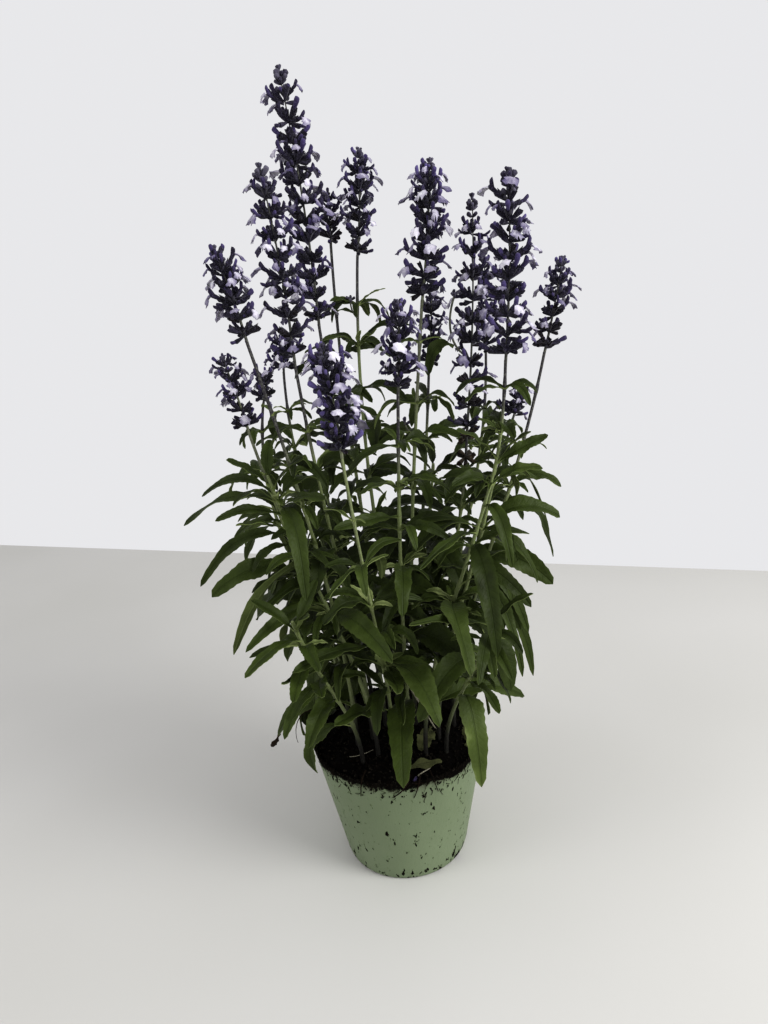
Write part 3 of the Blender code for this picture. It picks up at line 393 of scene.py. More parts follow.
def share_between(value, low, high):
    """How far a value is from low to high, held between 0 and 1."""
    return min(1.0, max(0.0, (value - low) / (high - low)))


def soil_height(x, y):
    """Height of the soil's top: a low dome with three waves over it, each of its own wavelength and phase."""
    out = math.hypot(x, y) / POT_TOP_RADIUS
    waves = math.sin(140 * x + 1.3) + math.sin(170 * y + 90 * x) + math.sin(230 * x - 120 * y + 2.1)
    return SOIL_EDGE + SOIL_DOME * (1 - out * out) + SOIL_LUMP * waves / 2


def spike_direction(stem):
    """Unit vector up the spike, or the way the end of a shoot with no flowers points."""
    neck = Vector(stem.neck)
    if stem.tip:
        return (Vector(stem.tip) - neck).normalized()
    return Vector((neck.x * SHOOT_LEAN, neck.y * SHOOT_LEAN, 100)).normalized()


def stem_line(stem, steps):
    """Points from the bottom of the stem's hole to its neck: straight out of the soil, then an easy bend."""
    x, y = (v * MM for v in stem.foot)
    ground = Vector((x, y, soil_height(x, y)))
    neck = Vector(stem.neck) * MM
    reach = (neck - ground).length
    rise, ease = UP * (reach * STEM_RISE), spike_direction(stem) * reach * NECK_EASE
    steer = [ground, ground + rise, neck - ease, neck]
    return [ground - UP * FOOT_DEPTH] + [bezier(steer, i / steps) for i in range(steps + 1)]


def spike_line(stem):
    """Points of the spike's core, a little clear of its stem, with a slight bow."""
    start = Vector(stem.neck) * MM + spike_direction(stem) * GAP * 2
    end = Vector(stem.tip) * MM
    bow = Vector(SPIKE_BOW) * (end - start).length
    return [bezier([start, start.lerp(end, 0.5) + bow, end], i / 2) for i in range(3)]


def at_height(points, z):
    """Point where a rising line passes height z."""
    for a, b in zip(points, points[1:]):
        if b.z >= z:
            return a.lerp(b, (z - a.z) / (b.z - a.z))
    return points[-1].copy()


def whorl_place(stem, line, k):
    """Whorl k's share of its spike's height, its place on the core, and its florets' size."""
    share = (k + FIRST_WHORL) / stem.whorls
    height = line[0].z + (line[-1].z - line[0].z) * share
    return share, at_height(line, height), 1.0 - SMALLER_AT_TIP * share**3


def half_width(t, most=0.5, power=FULLNESS, blunter=0):
    """Half of the blade's width at share t of its length, for a blade 1 wide; `blunter` rounds its tip."""
    if t <= STALK_SHARE:
        return 0.0
    u = (t - STALK_SHARE) / (1 - STALK_SHARE)
    return most * math.sin(math.pi * u**FULLNESS) ** (power - blunter * u)


def leaf_length(leaf):
    """Length of the leaf's two halves."""
    return (leaf.bend - leaf.root).length + (leaf.tip - leaf.bend).length


def natural_roll(root, tip):
    """Roll of the leaf between these points."""
    level = ((tip - root) * Vector((1, 1, 0))).normalized()
    return ROLL_FORWARD * level.x + ROLL_SPREAD * math.sin(ROLL_WAVE * (root.z + tip.x) / MM)


def across(leaf, ahead):
    """The leaf's right-hand side, square to its midrib."""
    level = (leaf.tip - leaf.root) * Vector((1, 1, 0))
    return Matrix.Rotation(leaf.roll, 3, ahead) @ Vector((level.y, -level.x, 0)).normalized()


def leaf_frame(leaf, t, step, before=0):
    """Point of the midrib at share t, with the leaf's direction there and its right-hand side."""
    steer = [leaf.root, leaf.bend, leaf.tip]
    point = bezier(steer, t)
    ahead = (bezier(steer, t + step) - bezier(steer, t - before)).normalized()
    return point, ahead, across(leaf, ahead)


def grown_leaf(axis, heading, rise, droop, length, width):
    """Leaf that sets out at `rise` and is `droop` lower at its end, rooted on its side of the stem's axis."""
    root = axis + polar(heading, 0) * ROOT_OUT
    bend = root + polar(heading, rise) * length / 2
    tip = bend + polar(heading, rise - droop) * length / 2
    return Leaf(root, bend, tip, width, natural_roll(root, tip))


def outline_leaf(axis, wanted, turn, rise):
    """Leaf of the outline, with its tip swung by `turn` round the stem and its stalk raised by `rise`."""
    level = Matrix.Rotation(turn, 3, "Z") @ (Vector(wanted.tip) * MM - axis)
    heading = math.atan2(level.y, level.x)
    root = axis + polar(heading, 0) * ROOT_OUT
    bend = root + polar(heading, math.radians(wanted.rise) + rise) * level.length / 2
    tip = axis + level
    return Leaf(root, bend, tip, wanted.width * MM, natural_roll(root, tip))


def tip_of(leaf):
    """The one point of a leaf's solid that tells it from the other tries."""
    return [leaf.tip]


def tip_and_rib_of(leaf):
    """Two points of a leaf's solid: its tip, and the midrib's upper side at the last section before it."""
    t = next(stations for least, stations in STATIONS if leaf_length(leaf) >= least)[-1]
    point, ahead, right = leaf_frame(leaf, t, 0.02)
    return [leaf.tip, point + right.cross(ahead) * (HALF_THICK - THINNER_AT_TIP * t)]


class Solid:
    """The points of a CAD node, to tell which of several tried places a leaf or floret has in it."""

    WITHIN = 0.02 * MM

    def __init__(self, node):
        verts = frame["nodes"][node].data.vertices
        self.tree = KDTree(len(verts))
        for vert in verts:
            self.tree.insert(vert.co, vert.index)
        self.tree.balance()

    def holds(self, point):
        return self.tree.find(point)[2] < self.WITHIN

    def first_held(self, tried, marks):
        """First of the tried pieces whose marks are all points of the node, or None."""
        return next((piece for piece in tried if all(map(self.holds, marks(piece)))), None)


def pair_heights(stem):
    """Heights of the stem's own pairs of leaves."""
    top = stem.leaf_top * MM
    return [FIRST_PAIR + (top - FIRST_PAIR) * (k / max(1, stem.pairs - 1)) for k in range(stem.pairs)]


def stem_leaves(stem, line, rng):
    """The leaves of a stem's solid, with the draws and in the order that made them."""
    solid = Solid("stem_" + stem.name)
    found = []
    for wanted in map(OutlineLeaf._make, OUTLINE_LEAVES.get(stem.name, ())):
        axis = at_height(line, wanted.root * MM)
        tried = [outline_leaf(axis, wanted, math.radians(turn), math.radians(rise))
                 for turn in OUTLINE_TURNS for rise in OUTLINE_RISES]
        found.append(solid.first_held(tried, tip_and_rib_of))
    for k, height in enumerate(pair_heights(stem)):
        share = k / max(1, stem.pairs - 1)
        root = at_height(line, height)
        for half in range(2):
            spread = rng.uniform(-HEADING_SPREAD, HEADING_SPREAD)
            heading = math.radians(stem.heading + 90 * k + 180 * half + spread)
            middle = math.sin(math.pi * min(1, share * 1.25))
            length = PAIR_LENGTH + LONGER_HALFWAY * middle - SHORTER_AT_TOP * share**2
            length *= rng.uniform(*LENGTH_SHARES)
            rise = math.radians(PAIR_RISE + STEEPER_AT_TOP * share + rng.uniform(-RISE_SPREAD, RISE_SPREAD))
            droop = math.radians(PAIR_DROOP - LESS_AT_TOP * share + rng.uniform(-DROOP_SPREAD, DROOP_SPREAD))
            width = length * rng.uniform(*WIDTH_SHARES)
            tried = [grown_leaf(root, heading + math.radians(turn), rise, droop + math.radians(sag),
                                length * scale, width) for scale in SHRINKS for turn in TURNS for sag in SAGS]
            found.append(solid.first_held(tried, tip_of))
    for k in range(0 if stem.tip else SHOOT_END_LEAVES):
        heading = math.radians(stem.heading + 360 * k / SHOOT_END_LEAVES + 45)
        axis = at_height(line, line[-1].z - SHOOT_END_BELOW - SHOOT_END_STEP * k)
        tried = [grown_leaf(axis, heading, math.radians(rise), math.radians(SHOOT_END_DROOP),
                            SHOOT_END_LENGTH, SHOOT_END_WIDTH) for rise in SHOOT_END_RISES]
        found.append(solid.first_held(tried, tip_of))
    return [leaf for leaf in found if leaf]


def spike_florets(stem, line, rng):
    """The florets of a spike's solid, each with its share of the spike's height."""
    solid = Solid("flowers_" + stem.name)
    found = []
    for k in range(stem.whorls):
        share, root, size = whorl_place(stem, line, k)
        count = BUD_FLORETS if share > BUDS_FROM else WHORL_FLORETS
        for n in range(count):
            heading = math.tau * (n / count + k * WHORL_TWIST) + rng.uniform(-WHORL_SPREAD, WHORL_SPREAD)
            spread = rng.uniform(-FLORET_SPREAD, FLORET_SPREAD)
            rise = math.radians(FLORET_RISE + FLORET_STEEPER_AT_TIP * share + spread)
            is_open = rng.random() < OPEN_SHARE and OPEN_BETWEEN[0] < share < OPEN_BETWEEN[1]
            scale = size * rng.uniform(*FLORET_SIZES)
            headings = [heading + math.radians(turn) for turn in FLORET_TURNS]
            tried = [Floret(root + polar(h, 0) * ROOT_OUT, polar(h, rise), scale, is_open) for h in headings]
            held = solid.first_held(tried, lambda f: [f.root + f.axis * FLORET_LENGTH * f.size])
            found.append((share, held or tried[0]))
    return found


def fallen_leaf(name, fallen):
    """The dead leaf as its solid lies."""
    solid = Solid(name)
    heights = [FALL_FROM - step * FALL_STEP for step in range(FALL_STEPS)]
    roots = [Vector((fallen.x * MM, fallen.y * MM, z)) for z in heights]
    tried = []
    for turn in FALL_TURNS:
        ahead = polar(math.radians(fallen.heading + turn), 0) * fallen.length * MM
        tried += [Leaf(r, r + ahead / 2 + UP * FALL_ARCH, r + ahead, fallen.width * MM, 0) for r in roots]
    return solid.first_held(tried, tip_of)


# Settings that many shader nodes share
TIMES, PLUS = {"operation": "MULTIPLY"}, {"operation": "ADD"}
TIMES_PLUS, GREATER = {"operation": "MULTIPLY_ADD"}, {"operation": "MAXIMUM"}
EASED, COLOURS = {"interpolation_type": "SMOOTHSTEP"}, {"data_type": "RGBA", "out": 2}


def hex_colour(code):
    """Linear colour and alpha of an sRGB hex value."""
    shares = [int(code[i:i + 2], 16) / 255 for i in (1, 3, 5)]
    return (*[v / 12.92 if v <= 0.04045 else ((v + 0.055) / 1.055) ** 2.4 for v in shares], 1.0)


def feed(tree, node, inputs):
    """Links a node's inputs to sockets, or sets them to values and hex colours."""
    for key, value in inputs.items():
        if isinstance(value, bpy.types.NodeSocket):
            tree.links.new(value, node.inputs[key])
        else:
            node.inputs[key].default_value = hex_colour(value) if isinstance(value, str) else value


def add(tree, kind, *values, out=0, stops=(), **settings):
    """Output of a new shader node with these settings and stops, its inputs fed in order or by a dict."""
    made = tree.nodes.new("ShaderNode" + kind)
    for name, value in settings.items():
        setattr(made, name, value)
    feed(tree, made, values[0] if values and isinstance(values[0], dict) else dict(enumerate(values)))
    for place, (position, colour) in enumerate(stops):
        element = made.color_ramp.elements[place] if place < 2 else made.color_ramp.elements.new(position)
        element.position, element.color = position, hex_colour(colour)
    return made.outputs[out]


def material(name, surface, *values):
    """New material, whose shader is fed what `surface` gives from the nodes it adds."""
    made = bpy.data.materials.new(name)
    made.use_nodes = True
    tree = made.node_tree
    feed(tree, tree.nodes["Principled BSDF"], surface(partial(add, tree), *values))
    return made


def lumps(node, size, detail=3.0, roughness=0.5, stretch=(1, 1, 1), turn=(0, 0, 0)):
    """Noise whose lumps are about `size` metres across, in the object's own coordinates."""
    place = node("Mapping", {"Vector": node("TexCoord", out="Object"), "Scale": stretch, "Rotation": turn})
    return node("TexNoise", {"Vector": place, "Scale": 0.6 / size, "Detail": detail, "Roughness": roughness})


def leaf_surface(node, colours, rib, vein_depth, roughness):
    """Leaf, grown wrinkled between its midrib and the side veins that slant to the edge: a matt, soft quilt.

    The attribute `blade` holds metres across and along the leaf and the share to its edge, and `tone` its age
    and painted light, from 0 for a dark leaf, old and in painted shade, to 1 for a pale one, young and in
    painted light. On the upper side the midrib and veins darken towards the rib colour, which is painted
    shade in their creases; on the underside they pale towards it, the leaf's own paler ribs. The wrinkles,
    about 1 mm wide on a real leaf, are drawn twice as coarse, or they would not show.
    """
    rib_width, vein_step, vein_slant, vein_wander = 0.9 * MM, 5.5 * MM, 1.3, 9 * MM
    blade = node("Attribute", attribute_name="blade", out="Vector")
    x, along, to_edge = (node("SeparateXYZ", blade, out=axis) for axis in "XYZ")
    aside = node("Math", x, operation="ABSOLUTE")
    midrib = node("MapRange", aside, rib_width / 3, rib_width, 1.0, 0.0, **EASED)
    bent = node("Math", lumps(node, 12 * MM, 2.0), vein_wander, along, **TIMES_PLUS)
    slanted = node("Math", aside, -vein_slant, bent, **TIMES_PLUS)
    fold = node("Math", node("Math", slanted, vein_step, operation="DIVIDE"), 0.5, operation="PINGPONG")
    fading = node("MapRange", to_edge, 0.7, 1.0, 0.6, 0.0, **EASED)
    vein = node("Math", node("MapRange", fold, 0.05, 0.16, 1.0, 0.0, **EASED), fading, **TIMES)
    patches = node("Math", lumps(node, 9 * MM, 4.0), 0.6, -0.3, **TIMES_PLUS)
    tone = node("Math", node("Attribute", attribute_name="tone", out="Fac"), patches, **PLUS)
    colour = node("ValToRGB", tone, stops=colours)
    # Midrib and veins mix towards the rib colour: on the upper side a darker one, painted shade in their
    # creases
    for line, strength in ((vein, 0.05), (midrib, 0.3)):
        colour = node("Mix", {0: node("Math", line, strength, **TIMES), 6: colour, 7: rib}, **COLOURS)
    lines = node("Math", midrib, node("Math", vein, 0.3, **TIMES), **GREATER)
    quilt = node("Math", lumps(node, 2.2 * MM), 1.3, **TIMES)
    height = node("Math", lines, vein_depth, quilt, **TIMES_PLUS)
    return {"Base Color": colour, "Roughness": roughness, "Specular IOR Level": 0.15,
            "Normal": node("Bump", {"Height": height, "Distance": 0.6 * MM, "Strength": 0.8})}


def stem_skin(node):
    """Square herb stem, grown ribbed and finely downy: near black at its woody foot (tone 0), its own brown
    darkened there as painted shade, green above, and dusky under the flowers (tone 1).

    The down breaks the skin into paler patches. Single hairs are too fine to show, so patches are drawn.
    """
    tone = node("Attribute", attribute_name="tone", out="Fac")
    down = node("MapRange", lumps(node, 0.9 * MM, 2.0), 0.45, 0.75, **EASED)
    downy = node("Math", down, node("MapRange", tone, 0.02, 0.12, 0.06, 0.35, **EASED), **TIMES)
    ribs = lumps(node, 0.8 * MM, 2.0, stretch=(1, 1, 0.08))
    return {"Base Color": node("Mix", {0: downy, 6: node("ValToRGB", tone, stops=STEM_COLOURS), 7: STEM_DOWN},
                               **COLOURS),
            "Roughness": 0.62,
            "Normal": node("Bump", {"Height": ribs, "Distance": 0.4 * MM, "Strength": 0.6})}


def felt(node, colours, dust, dust_share):
    """Short felt of plant hairs with a mealy white dust: it takes all shine away and pales the edges.

    `tone` runs from dry and brown to fresh. Dust and pile are drawn at 0.7 and 0.5 mm, several times coarser
    than real, or they would not show.
    """
    ground = node("ValToRGB", node("Attribute", attribute_name="tone", out="Fac"), stops=colours)
    grains = node("MapRange", lumps(node, 0.7 * MM, 3.0, 0.7), 0.46, 0.68, **EASED)
    colour = node("Mix", {0: node("Math", grains, dust_share, **TIMES), 6: ground, 7: dust}, **COLOURS)
    pile = lumps(node, 0.5 * MM, 2.0)
    return {"Base Color": colour, "Roughness": 0.85, "Specular IOR Level": 0.2, "Sheen Weight": 0.12,
            "Sheen Roughness": 0.5,
            "Normal": node("Bump", {"Height": pile, "Distance": 0.3 * MM, "Strength": 0.8})}


def petal(node):
    """Thin soft petal of the lower lip, which lets light through: white at the throat, violet at its edge."""
    blade = node("Attribute", attribute_name="blade", out="Vector")
    tone = node("Attribute", attribute_name="tone", out="Fac")
    out = node("Math", node("SeparateXYZ", blade, out="Z"), tone, **PLUS)
    ragged = node("Math", lumps(node, 1.7 * MM), 1.3, -0.65, **TIMES_PLUS)
    half = node("Math", node("Math", out, ragged, **PLUS), 0.5, **TIMES)
    return {"Base Color": node("ValToRGB", half, stops=LIP_COLOURS), "Roughness": 0.5,
            "Subsurface Weight": 0.15, "Subsurface Radius": (0.002, 0.0015, 0.002)}


def pot_plastic(node):
    """Thin pot of vacuum-formed polypropylene: an even pale green with a dull gloss, and dried compost on it.

    A stain and a black smear darken the rim, and flecks, upright and slanted, gather at the rim and the foot.
    Compost takes the gloss away. Flecks under 1 mm are left out, and the others drawn at 2.6 to 3 mm.
    """
    height = node("SeparateXYZ", node("TexCoord", out="Object"), out="Z")
    rim = node("MapRange", height, POT_HEIGHT - 24 * MM, POT_HEIGHT - 1 * MM, **EASED)
    edge = node("MapRange", height, POT_HEIGHT - 14 * MM, POT_HEIGHT - 0.5 * MM, **EASED)
    foot = node("MapRange", height, 16 * MM, 1 * MM, **EASED)
    grime = node("Math", lumps(node, 7 * MM, 6.0, 0.7), rim, **TIMES)
    stain = node("MapRange", grime, 0.30, 0.62, 0.0, 0.8, **EASED)
    smear = node("Math", edge, 0.8, lumps(node, 4 * MM, 7.0, 0.8), **TIMES_PLUS)
    smear = node("Math", lumps(node, 26 * MM, 1.0), 1.6, smear, **TIMES_PLUS)
    upright = lumps(node, 2.6 * MM, 4.0, 0.62, (1, 1, 0.7))
    slanted = lumps(node, 3.0 * MM, 3.0, 0.55, (1, 1, 0.35), (0, 0.8, 0))
    most = node("Math", upright, node("Math", slanted, 0.015, operation="SUBTRACT"), **GREATER)
    gathered = node("Math", lumps(node, 16 * MM, 2.0), 0.14, -0.07, **TIMES_PLUS)
    reach = node("Math", foot, 0.10, node("Math", rim, 0.09, **TIMES), **TIMES_PLUS)
    flecks = node("Math", most, node("Math", reach, gathered, **PLUS), **PLUS)
    colour = node("ValToRGB", lumps(node, 45 * MM), stops=POT_COLOURS)
    for share, dirt in ((stain, POT_STAIN), (node("MapRange", smear, 1.73, 1.88, **EASED), POT_SMEAR),
                        (node("MapRange", flecks, 0.655, 0.69, **EASED), POT_FLECK)):
        colour = node("Mix", {0: share, 6: colour, 7: dirt}, **COLOURS)
    soiled = node("Math", node("MapRange", flecks, 0.6, 0.7, **EASED),
                  node("MapRange", smear, 1.7, 1.85, **EASED), **GREATER)
    skin = node("Math", flecks, 2.0, lumps(node, 14 * MM, 2.0), **TIMES_PLUS)
    return {"Base Color": colour, "Roughness": node("Math", soiled, 0.4, 0.5, **TIMES_PLUS),
            "Specular IOR Level": node("Math", soiled, -0.38, 0.4, **TIMES_PLUS),
            "Normal": node("Bump", {"Height": skin, "Distance": 0.5 * MM, "Strength": 0.5})}


def earth(node, colours, grain):
    """Damp milled peat, or a dry root: no gloss, with paler grains about `grain` wide on a dark ground."""
    shade = lumps(node, grain, 5.0, 0.65)
    return {"Base Color": node("ValToRGB", shade, stops=colours), "Roughness": 0.95,
            "Specular IOR Level": 0.06,
            "Normal": node("Bump", {"Height": shade, "Distance": 1.2 * MM, "Strength": 1.0})}


def floor_paper(node):
    """Pressed background paper: matt, plain and pale, with a cloud so wide that it only breaks evenness."""
    return {"Base Color": node("ValToRGB", lumps(node, 260 * MM, 2.0), stops=FLOOR_COLOURS),
            "Roughness": 0.7, "Specular IOR Level": 0.2}


# A small closed mesh that is copied and bent many times; its marks say where in it each of its points lies
Shape = namedtuple("Shape", "mesh marks")


def finished_shape(bm, name, mark, material_of, crease=CREASE):
    """Shape from a closed bmesh, shaded smooth but along its creases."""
    bmesh.ops.recalc_face_normals(bm, faces=bm.faces)
    for face in bm.faces:
        face.material_index = material_of(face)
    smooth(bm, crease)
    mesh = mesh_of(name, bm, free=False)
    marks = [mark(vert.co) for vert in bm.verts]
    bm.free()
    return Shape(mesh, marks)


def smooth(bm, crease):
    """Shades a bmesh smooth, but for edges sharper than `crease` degrees."""
    for face in bm.faces:
        face.smooth = True
    for edge in bm.edges:
        edge.smooth = edge.calc_face_angle(0) < math.radians(crease)


def mesh_of(name, bm, free=True):
    """New mesh from a bmesh, which is freed unless it is still needed."""
    mesh = bpy.data.meshes.new(name)
    bm.to_mesh(mesh)
    if free:
        bm.free()
    return mesh


def slab_shape(name, columns, rows, upper=0, under=1):
    """Thin closed slab; marks: share across (-1 to 1), share along (0 to 1), and if on the upper side."""
    bm = bmesh.new()
    bmesh.ops.create_grid(bm, x_segments=columns, y_segments=rows, size=1)
    bmesh.ops.solidify(bm, geom=bm.faces[:], thickness=0.01)
    middle = sum(v.co.z for v in bm.verts) / len(bm.verts)
    return finished_shape(bm, name, lambda co: (round(co.x, 4), round((co.y + 1) / 2, 5), co.z > middle),
                          lambda face: upper if face.normal.z > 0.5 else under)


def rod_shape(name, sides, rings, material_index, mouth=False):
    """Closed rod, or a cup whose far end is sunk; marks: place across in a circle of 1, and share along."""
    bm = bmesh.new()
    bmesh.ops.create_cone(bm, cap_ends=True, segments=sides, radius1=1, radius2=1, depth=1)
    lengthwise = [e for e in bm.edges if abs(e.verts[0].co.z - e.verts[1].co.z) > 0.5]
    bmesh.ops.subdivide_edges(bm, edges=lengthwise, cuts=rings - 1, use_grid_fill=True)
    if mouth:
        far_end = [f for f in bm.faces if f.normal.z > 0.9]
        bmesh.ops.inset_region(bm, faces=far_end, thickness=CUP_RIM)
        bmesh.ops.translate(bm, verts=far_end[0].verts, vec=(0, 0, -CUP_SINK))
    return finished_shape(bm, name, lambda co: (co.x, co.y, co.z + 0.5), lambda face: material_index)


def ball_shape(name, segments, rings, material_index):
    """Closed ball; marks: its points on a sphere of 1."""
    bm = bmesh.new()
    bmesh.ops.create_uvsphere(bm, u_segments=segments, v_segments=rings, radius=1)
    return finished_shape(bm, name, tuple, lambda face: material_index)


def crumb_shape(name, material_index):
    """Closed twenty-sided grain; marks: its points on a sphere of 1."""
    bm = bmesh.new()
    bmesh.ops.create_icosphere(bm, subdivisions=1, radius=1)
    return finished_shape(bm, name, tuple, lambda face: material_index, CRUMB_CREASE)


def started():
    """Bmesh of a new piece, with the attributes that the materials read."""
    bm = bmesh.new()
    bm.verts.layers.float_vector.new("blade")
    bm.verts.layers.float.new("tone")
    return bm


def grow(bm, shape, place):
    """Adds a copy of the shape; `place` gives each point's position, blade attribute and tone."""
    first = len(bm.verts)
    bm.from_mesh(shape.mesh)
    bm.verts.ensure_lookup_table()
    blade, tone = bm.verts.layers.float_vector["blade"], bm.verts.layers.float["tone"]
    for vert, mark in zip(bm.verts[first:], shape.marks):
        vert.co, vert[blade], vert[tone] = place(*mark)


def linked(name, data):
    """New object of this data, in the scene."""
    made = bpy.data.objects.new(name, data)
    bpy.context.scene.collection.objects.link(made)
    return made


def piece(name, bm, materials, slot, *nodes):
    """Object of a finished bmesh that rides on the plant and stands for these nodes."""
    made = linked(name, mesh_of(name, bm))
    for surface in materials:
        made.data.materials.append(surface)
    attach(made, "root")
    if nodes:
        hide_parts(*nodes)
    return made


def leaf_place(leaf, tone, rng, rows, still=False):
    """Where a leaf's slab goes: along its midrib, folded, waved at the edge, toothed, and a little twisted.

    Its tone is paler at the stalk, and paler at the edge as a painted highlight where the rolled edge catches
    light.
    """
    length = leaf_length(leaf)
    phase, waves = rng.uniform(0, math.tau), rng.uniform(*RUFFLES)
    fold, ruffle = FOLDS[0] if still else rng.uniform(*FOLDS), RUFFLE * rng.uniform(*RUFFLE_SHARES)
    twist, sway, swell = [0 if still else most * rng.uniform(-1, 1)
                          for most in (TWIST, SWAY * length, SWELL * length)]
    swells = rng.uniform(*SWELLS)
    sections = {}

    def section(t):
        point, ahead, right = leaf_frame(leaf, t, LEAF_STEP, LEAF_STEP)
        right = Matrix.Rotation(twist * t * t, 3, ahead) @ right
        tooth = TOOTH if round(t * rows) % 2 else -TOOTH
        stalk = max(0.0, 1 - t / STALK_SHARE)
        least = STALK_WIDE * (1 + stalk) * (1 - TIP_NARROWS * t)
        up = right.cross(ahead)
        point += right * sway * math.sin(math.pi * t) + up * swell * math.sin(math.tau * swells * t) * (1 - t)
        wide = max(least, half_width(t, SLENDER_HALF, FULLER, BLUNTNESS) * leaf.width)
        return point, right, up, wide, tooth, LEAF_THICK + (STALK_THICK - LEAF_THICK) * stalk

    def place(s, t, upper):
        if t not in sections:
            sections[t] = section(t)
        point, side, up, wide, tooth, thick = sections[t]
        out = s * wide * (1 + tooth * abs(s) ** 3)
        lift = wide * fold * (math.sqrt(s * s + KEEL_ROUND) - KEEL_DEPTH - EDGE_ROLL * s**4)
        shift = RUFFLE_SHIFT if s > 0 else 0
        lift += wide * ruffle * s * s * math.sin(math.tau * waves * t + phase + shift)
        co = point + side * out + up * (lift - (0 if upper else thick))
        return co, (out, t * length, abs(s)), tone + BASE_PALE * max(0, 1 - t / BASE_REACH) + EDGE_HIGHLIGHT * s**4

    return place


def rod_place(points, radius_at, tone_at, flat_side=FLAT_SIDE):
    """Where a rod's points go: rings square to the line through the points, one ring to each."""
    last = len(points) - 1
    frames = []
    for i, point in enumerate(points):
        ahead = (points[min(last, i + 1)] - points[max(0, i - 1)]).normalized()
        side = (Vector((1, 0, 0)) - ahead * ahead.x).normalized()
        frames.append((point, side, ahead.cross(side), radius_at(i, point), tone_at(i, point)))

    def place(x, y, q):
        point, side, other, radius, tone = frames[round(q * last)]
        corner = abs(math.sin(2 * math.atan2(y, x)))
        shape = radius * (1 - (1 - flat_side) * corner)
        return point + (side * x + other * y) * shape, (0, 0, 0), tone

    return place


class Room:
    """Coarse strips and rods of what stands where, to keep an added leaf from crossing another."""

    def __init__(self):
        self.lows, self.highs, self.trees = [], [], []

    def add(self, strip):
        points, faces = strip
        self.lows.append(np.min(points, axis=0))
        self.highs.append(np.max(points, axis=0))
        self.trees.append(BVHTree.FromPolygons(points, faces))

    def is_free(self, strip):
        points, faces = strip
        if any(p.z < LOWEST_LEAF and math.hypot(p.x, p.y) < POT_TOP_RADIUS + POT_CLEAR for p in points):
            return False
        if any(p.z < OPEN_SOIL_TOP and p.y < OPEN_SOIL_BACK and math.hypot(p.x, p.y) < OPEN_SOIL_RADIUS
               for p in points):
            return False
        low, high = np.min(points, axis=0), np.max(points, axis=0)
        near = (np.array(self.lows) < high).all(axis=1) & (np.array(self.highs) > low).all(axis=1)
        tree = BVHTree.FromPolygons(points, faces)
        return not any(tree.overlap(self.trees[i]) for i in np.flatnonzero(near))


def leaf_strip(leaf):
    """A leaf's blade as four rows of quads past its stalk, two to a row."""
    points = []
    for t in STRIP_SHARES:
        point, ahead, right = leaf_frame(leaf, t, LEAF_STEP)
        wide = half_width(t) * leaf.width + STRIP_CLEAR
        points += [point + right * s * wide + right.cross(ahead) * abs(s) * wide * FOLD for s in (-1, 0, 1)]
    faces = [(k, k + 1, k + 4, k + 3) for row in range(len(STRIP_SHARES) - 1) for k in (3 * row, 3 * row + 1)]
    return points, faces


def rod_strip(line, radius):
    """A stem as two crossed ribbons."""
    points, faces = [], []
    for aside in (Vector((radius, 0, 0)), Vector((0, radius, 0))):
        first = len(points)
        points += [p + aside * s for p in line for s in (-1, 1)]
        faces += [(k, k + 1, k + 3, k + 2) for k in range(first, len(points) - 2, 2)]
    return points, faces


def moved_root(leaf, line, smooth_line):
    """The leaf, with its stalk on the smooth stem."""
    shift = at_height(smooth_line, leaf.root.z) - at_height(line, leaf.root.z)
    return leaf._replace(root=leaf.root + shift, bend=leaf.bend + shift / 2)


def added_leaves(stem, smooth_line, rng, room):
    """Small leaves that the solid leaves out: pairs between its own, sprigs in the axils, and bracts."""
    top, end = stem.leaf_top * MM, smooth_line[-1].z
    step = (top - FIRST_PAIR) / max(1, stem.pairs - 1)
    places = []
    for k, height in enumerate(pair_heights(stem)):
        turn = math.radians(stem.heading + 90 * k)
        between = height + (step / 2 if k < stem.pairs - 1 else BRACT_STEP)
        for z, heading, kind in ((between, turn + math.pi / 4, "mid"), (height, turn, "axil"),
                                 (between, turn + math.pi / 4, "axil"), (height, turn, "sprig")):
            places += [(z, heading, n, kind) for n in range(2)]
    height, k = top + BRACT_STEP, 0
    while height < end - BRACT_END:
        places += [(height, math.radians(stem.heading + 90 * k + BRACT_TURN), n, "bract") for n in range(2)]
        height, k = height + BRACT_STEP * rng.uniform(*BRACT_SPACING), k + 1
    found = []
    for height, turn, n, kind in places:
        if height > end - ADDED_END:
            continue
        axis, added = at_height(smooth_line, height), ADDED[kind]
        shorter = 1 - SHORTER_ABOVE * max(0, (height - FIRST_PAIR) / (top - FIRST_PAIR))
        for _ in range(rng.choice(added.counts)):
            for attempt in range(TRIES):
                spread = math.radians(rng.uniform(*added.spreads)) * rng.choice((-1, 1))
                swing = math.radians(rng.uniform(-TRY_TURN, TRY_TURN)) if attempt else 0
                heading = turn + math.pi * n + spread + swing
                length = rng.uniform(*added.lengths) * MM * (SHORTER_TRY if attempt > SHORTER_AFTER else 1)
                length *= shorter
                rise = math.radians(rng.uniform(*added.rises))
                droop = math.radians(rng.uniform(*added.droops))
                leaf = grown_leaf(axis, heading, rise, droop, length, length * rng.uniform(*added.widths))
                strip = leaf_strip(leaf)
                if inside_outline(leaf.tip) and room.is_free(strip):
                    room.add(strip)
                    found.append((leaf, kind))
                    break
    return found


def inside_outline(point):
    """Whether a point is inside the plant's own width at its height, so that no added leaf widens it."""
    wide = np.interp(point.z, OUTLINE_HEIGHTS, OUTLINE_RADII)
    return math.hypot(point.x, point.y) < wide * MM


